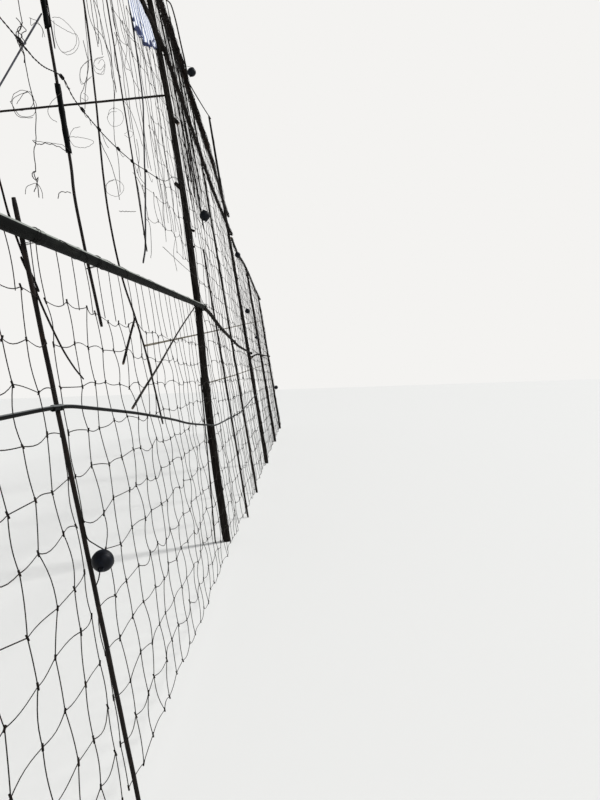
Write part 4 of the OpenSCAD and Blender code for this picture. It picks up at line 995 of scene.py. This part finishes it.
def fishing_float(piece, at, r, tip, seed):
    """A moulded float round its own axis: r sin a from the axis at r cos a along it, with a seam 1.5 mm proud
    at its middle, and a flat eye standing at each pole, which is a ring of radius r/4.5 round its hole. Returns
    the two places where cords are tied."""
    a = np.linspace(0.12, np.pi - 0.12, 60)
    axis = unit(np.asarray(tip, float))
    at = np.asarray(at, float)
    path = at - r * np.cos(a)[:, None] * axis
    out = r * np.sin(a) + 1.5 * np.exp(-((a - np.pi / 2) / 0.03) ** 2)
    beside = (0, 0, 1) if abs(axis[2]) < 0.7 else (1, 0, 0)
    f = np.linspace(0, 2 * np.pi, 48, endpoint=False)
    piece.tubes(path, out[:, None] * (1 + 0.006 * np.cos(3 * f + seed)), beside)
    side = unit(np.cross(axis, beside))
    for way in (-1, 1):
        g = np.linspace(0, 2 * np.pi, 28, endpoint=False)[:, None]
        middle = at + way * axis * r * 1.1
        eye = middle + r / 4.5 * (np.cos(g) * side + np.sin(g) * axis * way * 0.9)
        piece.tubes(eye, np.full((28, 8), r * 0.085), np.cross(axis, side), closed=True)
    return at + axis * r * 1.32, at - axis * r * 1.32


def crossing_at(bay, column, row):
    """The place of a netting crossing, in a bay given as its ends, its top and its meshes."""
    low, high, top, mesh_u, mesh_v = bay
    columns, rows = int((high - low) / mesh_u), int((top - 150) / mesh_v)
    return low + column * (high - low - 4) / columns + 2, 150 + row * (top - 154) / rows + 2


hook_float = Piece()
eyes = fishing_float(hook_float, (spot(hook_place, 5640)[0], -(CLEAR + 62), 5640), 57, (0.3, -0.35, 1), 1)
cords = [[eyes[0], (spot(hook_place, 5700)[0] + 4, -14, 5730), (spot(hook_place, 5750)[0], -3, 5745)]]
hook_float.make("moulded_hook_float", [float_plastic], "float_plastic", "hook_float")
floats = Piece()
near_bay, middle_bay = (3460, 7278, 1820, 160, 150), (7422, 9828, 5560, 190, 190)
far_bay, last_bay = (12922, 16728, 4000, 190, 190), (16872, 20728, 3980, 190, 190)
for bay, column, row, r, tip in ((near_bay, 0, 5, 37, (0.9, 0, 0.5)), (middle_bay, 5, 16.5, 57, (0.35, 0.1, 1)),
                                 (far_bay, 1, 19, 51, (0.2, 0.3, 1)), (far_bay, 2, 13.7, 46, (0.2, 0.3, 1)),
                                 (far_bay, 11, 11.7, 34, (0.6, 0.3, 1)), (last_bay, 19, 5.7, 57, (1, 0, 0.4))):
    u, v = crossing_at(bay, column, row)
    big = 62 * r / 57
    eyes = fishing_float(floats, (u, -(FRONT + big), v), r, tip, column)
    cords.append([eyes[0], (u + 10, -FRONT - 20, v + 1.5 * r), (u + 6, -3, v + 2.2 * r), (u, -2, v + 3.3 * r)])
    cords.append([eyes[1], (u - 16, -FRONT - 20, v - 1.6 * r), (u - 12, -3, v - 2.4 * r)])
floats.make("moulded_net_floats", [float_plastic], "float_plastic", "net_floats")
loose_wires("twine_float_ties", cords, 2.2, twine, "dark_rope", seed=40, crimp=0.6)


def squared(x, power):
    """x drawn towards a square wave, keeping its sign."""
    return np.sign(x) * np.abs(x) ** power


def lashing(piece, place, v, held, seed, turns=4, pitch=3.0):
    """Tie wire in a square lashing round a post and a rail. With q(x, k) = sgn x |x|^k, a turn goes up before
    the rail beside the post and across behind the post: (-p q(cos a, 0.4), c + d q(cos 2a, 0.6),
    h q(sin a, 0.4)), where p and h are the two radii, wider by the pitch at each turn, c is the middle of its
    depth across the row, and d half of that depth, towards the path."""
    u, w, r = place
    low, high = -(FRONT + 2 * held + 2), w + r + 2
    a = np.linspace(0, 2 * np.pi * turns, 48 * turns)
    wide = 2.0 + pitch * a / (2 * np.pi) + sway(a, seed, (5.0, 2.1), 0.4 * pitch)
    path = np.stack([u - (r + wide) * squared(np.cos(a), 0.4),
                     (low + high) / 2 + (low - high) / 2 * squared(np.cos(2 * a), 0.6),
                     v + (held + wide) * squared(np.sin(a), 0.4)], -1)
    piece.tubes(path, np.full((len(a), 5), 0.5 * pitch + 0.1), (0.3, 0.2, 1))
    if turns > 2:
        pick = np.random.default_rng(seed)
        tail = [[u + r, low - 2, v + held], [u + r + 8, low - 8, v + held + 6],
                [u + r + pick.uniform(8, 22), low - pick.uniform(5, 14), v + held + pick.uniform(-12, 22)]]
        piece.tubes(curve(tail, 10), np.full((10, 4), 1.4))


near, main, far = Piece(), Piece(), Piece()
lashing(near, spot(near_end_place, 1820), 1820, 24, 1)
lashing(near, spot(near_end_place, 4300), 4300, 20, 2)
lashing(near, (ROD + ROD_SLANT * (1 - near_rail_v(ROD) / ROD_TALL), 8, 8), near_rail_v(ROD), 23, 3, 2, 1.6)
lashing(near, (SPLICED, 6.5, 6.5), near_rail_v(SPLICED), 22.5, 4, 2, 1.6)
for k, (u, r) in enumerate(((SPLICED, 6.5), (4790, 5), (5372, 4.5), (6190, 5.5))):
    lashing(near, (u, r, r), near_top_v(u), 20, 5 + k, 3, 2.0)
for piece, place, seed, ties in (
        (main, main_place, 20, ((2206, 21), (near_top_v(TOP_END), 20), (5590, 19))),
        (main, hook_place, 30, ((2020, 17), (4390, 19), (5150, 18))),
        (far, far_place, 40, ((1912, 16), (1984, 15.5), (4046, 17), (4155, 17.5), (4500, 16.5))),
        (far, seventh_place, 50, ((2085, 15), (4040, 16))),
        (far, end_place, 60, ((2197, 14), (3948, 14.5)))):
    for k, (v, held) in enumerate(ties):
        lashing(piece, spot(place, v), v, held, seed + k)
for piece, part in ((near, "near"), (main, "main"), (far, "far")):
    piece.make(f"wire_{part}_lashings", [tie_wire], "dark_wire", f"{part}_lashings")

# Torn cloth, hung by its upper edge: at (p, q) of its cut it lies between the edge's height and the torn lower
# edge's, and stands out by 26 q^0.7 (1 + 0.7 sin 11 p + 0.35 sin(23 p + 2 q)) + 6 q sin 40 p
p, q = np.meshgrid(np.linspace(0, 1, 121), np.linspace(0, 1, 49), indexing="ij")
u = 5975 + 1190 * p - 26 * q * np.sin(9 * p)
head = near_top_v(u) - 6 + 7 * np.cos(22 * p)
foot = np.interp(u, [5960, 6063, 6245, 6400, 6810, 7100, 7170], [4084, 4100, 4152, 4194, 4375, 4535, 4650])
foot = foot + sway(p * 1190, 5, (210, 90, 33), 20)
v = head + (np.minimum(foot, head - 30) - head) * q
w = -5 - 26 * q ** 0.7 * (1 + np.sin(11 * p) * 0.7 + 0.35 * np.sin(23 * p + 2 * q)) - 6 * q * np.sin(40 * p)
points = stand(np.stack([u, w, v], -1))
i = np.arange(p.size).reshape(p.shape)
faces = np.stack([i[:-1, :-1], i[1:, :-1], i[1:, 1:], i[:-1, 1:]], -1).reshape(-1, 4)
scrap = Piece()
scrap.add(points.reshape(-1, 3), np.stack([1190 * p, 500 * q, 0 * p], -1).reshape(-1, 3), [(faces, 0)])
scrap = scrap.make("cotton_scrap", [cloth], "torn_cloth", "cloth_scrap")
cut = scrap.data.uv_layers.new(name="cut")
corner = np.stack([1.19 * p, q], -1).reshape(-1, 2)[faces.ravel()]
cut.data.foreach_set("uv", corner.astype(np.float32).ravel())
thin = scrap.modifiers.new("thread", "SOLIDIFY")
thin.thickness = 0.0008


# Floor, light and camera

white, shader = finish("pale_studio_floor", "#E9E8E5", 0.9)
floor_points = np.array([[-60, -60, -0.001], [90, -60, -0.001], [90, 60, -0.001], [-60, 60, -0.001]])
mesh = bpy.data.meshes.new("studio_floor")
mesh.from_pydata(floor_points.tolist(), [], [(0, 1, 2, 3)])
mesh.materials.append(white)
floor = bpy.data.objects.new("studio_floor", mesh)
bpy.context.scene.collection.objects.link(floor)

world = bpy.data.worlds.new("studio")
bpy.context.scene.world = world
world.use_nodes = True
ray = node(world, "ShaderNodeLightPath")
back = world.node_tree.nodes["Background"]
back.inputs["Color"].default_value = linear("#E8ECF0")
back.inputs["Strength"].default_value = 0.42
seen = node(world, "ShaderNodeBackground", in_Color=linear("#F4F3F1"), in_Strength=1.0)
joined = node(world, "ShaderNodeMixShader", (0, ray.outputs["Is Camera Ray"]), (1, back), (2, seen))
world.node_tree.links.new(joined.outputs[0], world.node_tree.nodes["World Output"].inputs["Surface"])


def lamp(name, direction, strength, angle):
    """Far soft light from a direction, whose size in the sky is angle."""
    light = bpy.data.lights.new(name, "SUN")
    light.energy, light.angle = strength, np.radians(angle)
    made = bpy.data.objects.new(name, light)
    bpy.context.scene.collection.objects.link(made)
    made.rotation_mode = "QUATERNION"
    made.rotation_quaternion = Vector(direction).to_track_quat("Z", "Y")


lamp("key", (0.5, -0.8, 0.85), 2.8, 12)
lamp("fill", (-0.8, -0.7, 0.6), 0.7, 40)

# The photograph's camera: eye 1.5 m up, level, turned 1.9 degrees, with the horizon 22 pixels over its middle. Its
# focal length is 647 of the picture's 800 pixels of height.
FOCAL, TALL, WIDTH, HORIZON = 647, 800, 36, 22
tilt = np.radians(1.9)
right, up = np.array([0, -1.0, 0]), np.array([0, 0, 1.0])
camera = bpy.data.objects.new("camera", bpy.data.cameras.new("camera"))
bpy.context.scene.collection.objects.link(camera)
camera.data.lens, camera.data.sensor_width = WIDTH * FOCAL / TALL, WIDTH
camera.data.shift_x, camera.data.shift_y = HORIZON * np.sin(tilt) / TALL, -HORIZON * np.cos(tilt) / TALL
camera.data.clip_start, camera.data.clip_end = 0.02, 500
pose = np.eye(4)
pose[:3, 0], pose[:3, 1] = np.cos(tilt) * right - np.sin(tilt) * up, np.sin(tilt) * right + np.cos(tilt) * up
pose[:3, 2], pose[:3, 3] = (-1.0, 0, 0), (1.3, -0.634, 1.5)
camera.matrix_world = Matrix(pose.tolist())
bpy.context.scene.camera = camera
bpy.context.scene.view_settings.view_transform = "Standard"
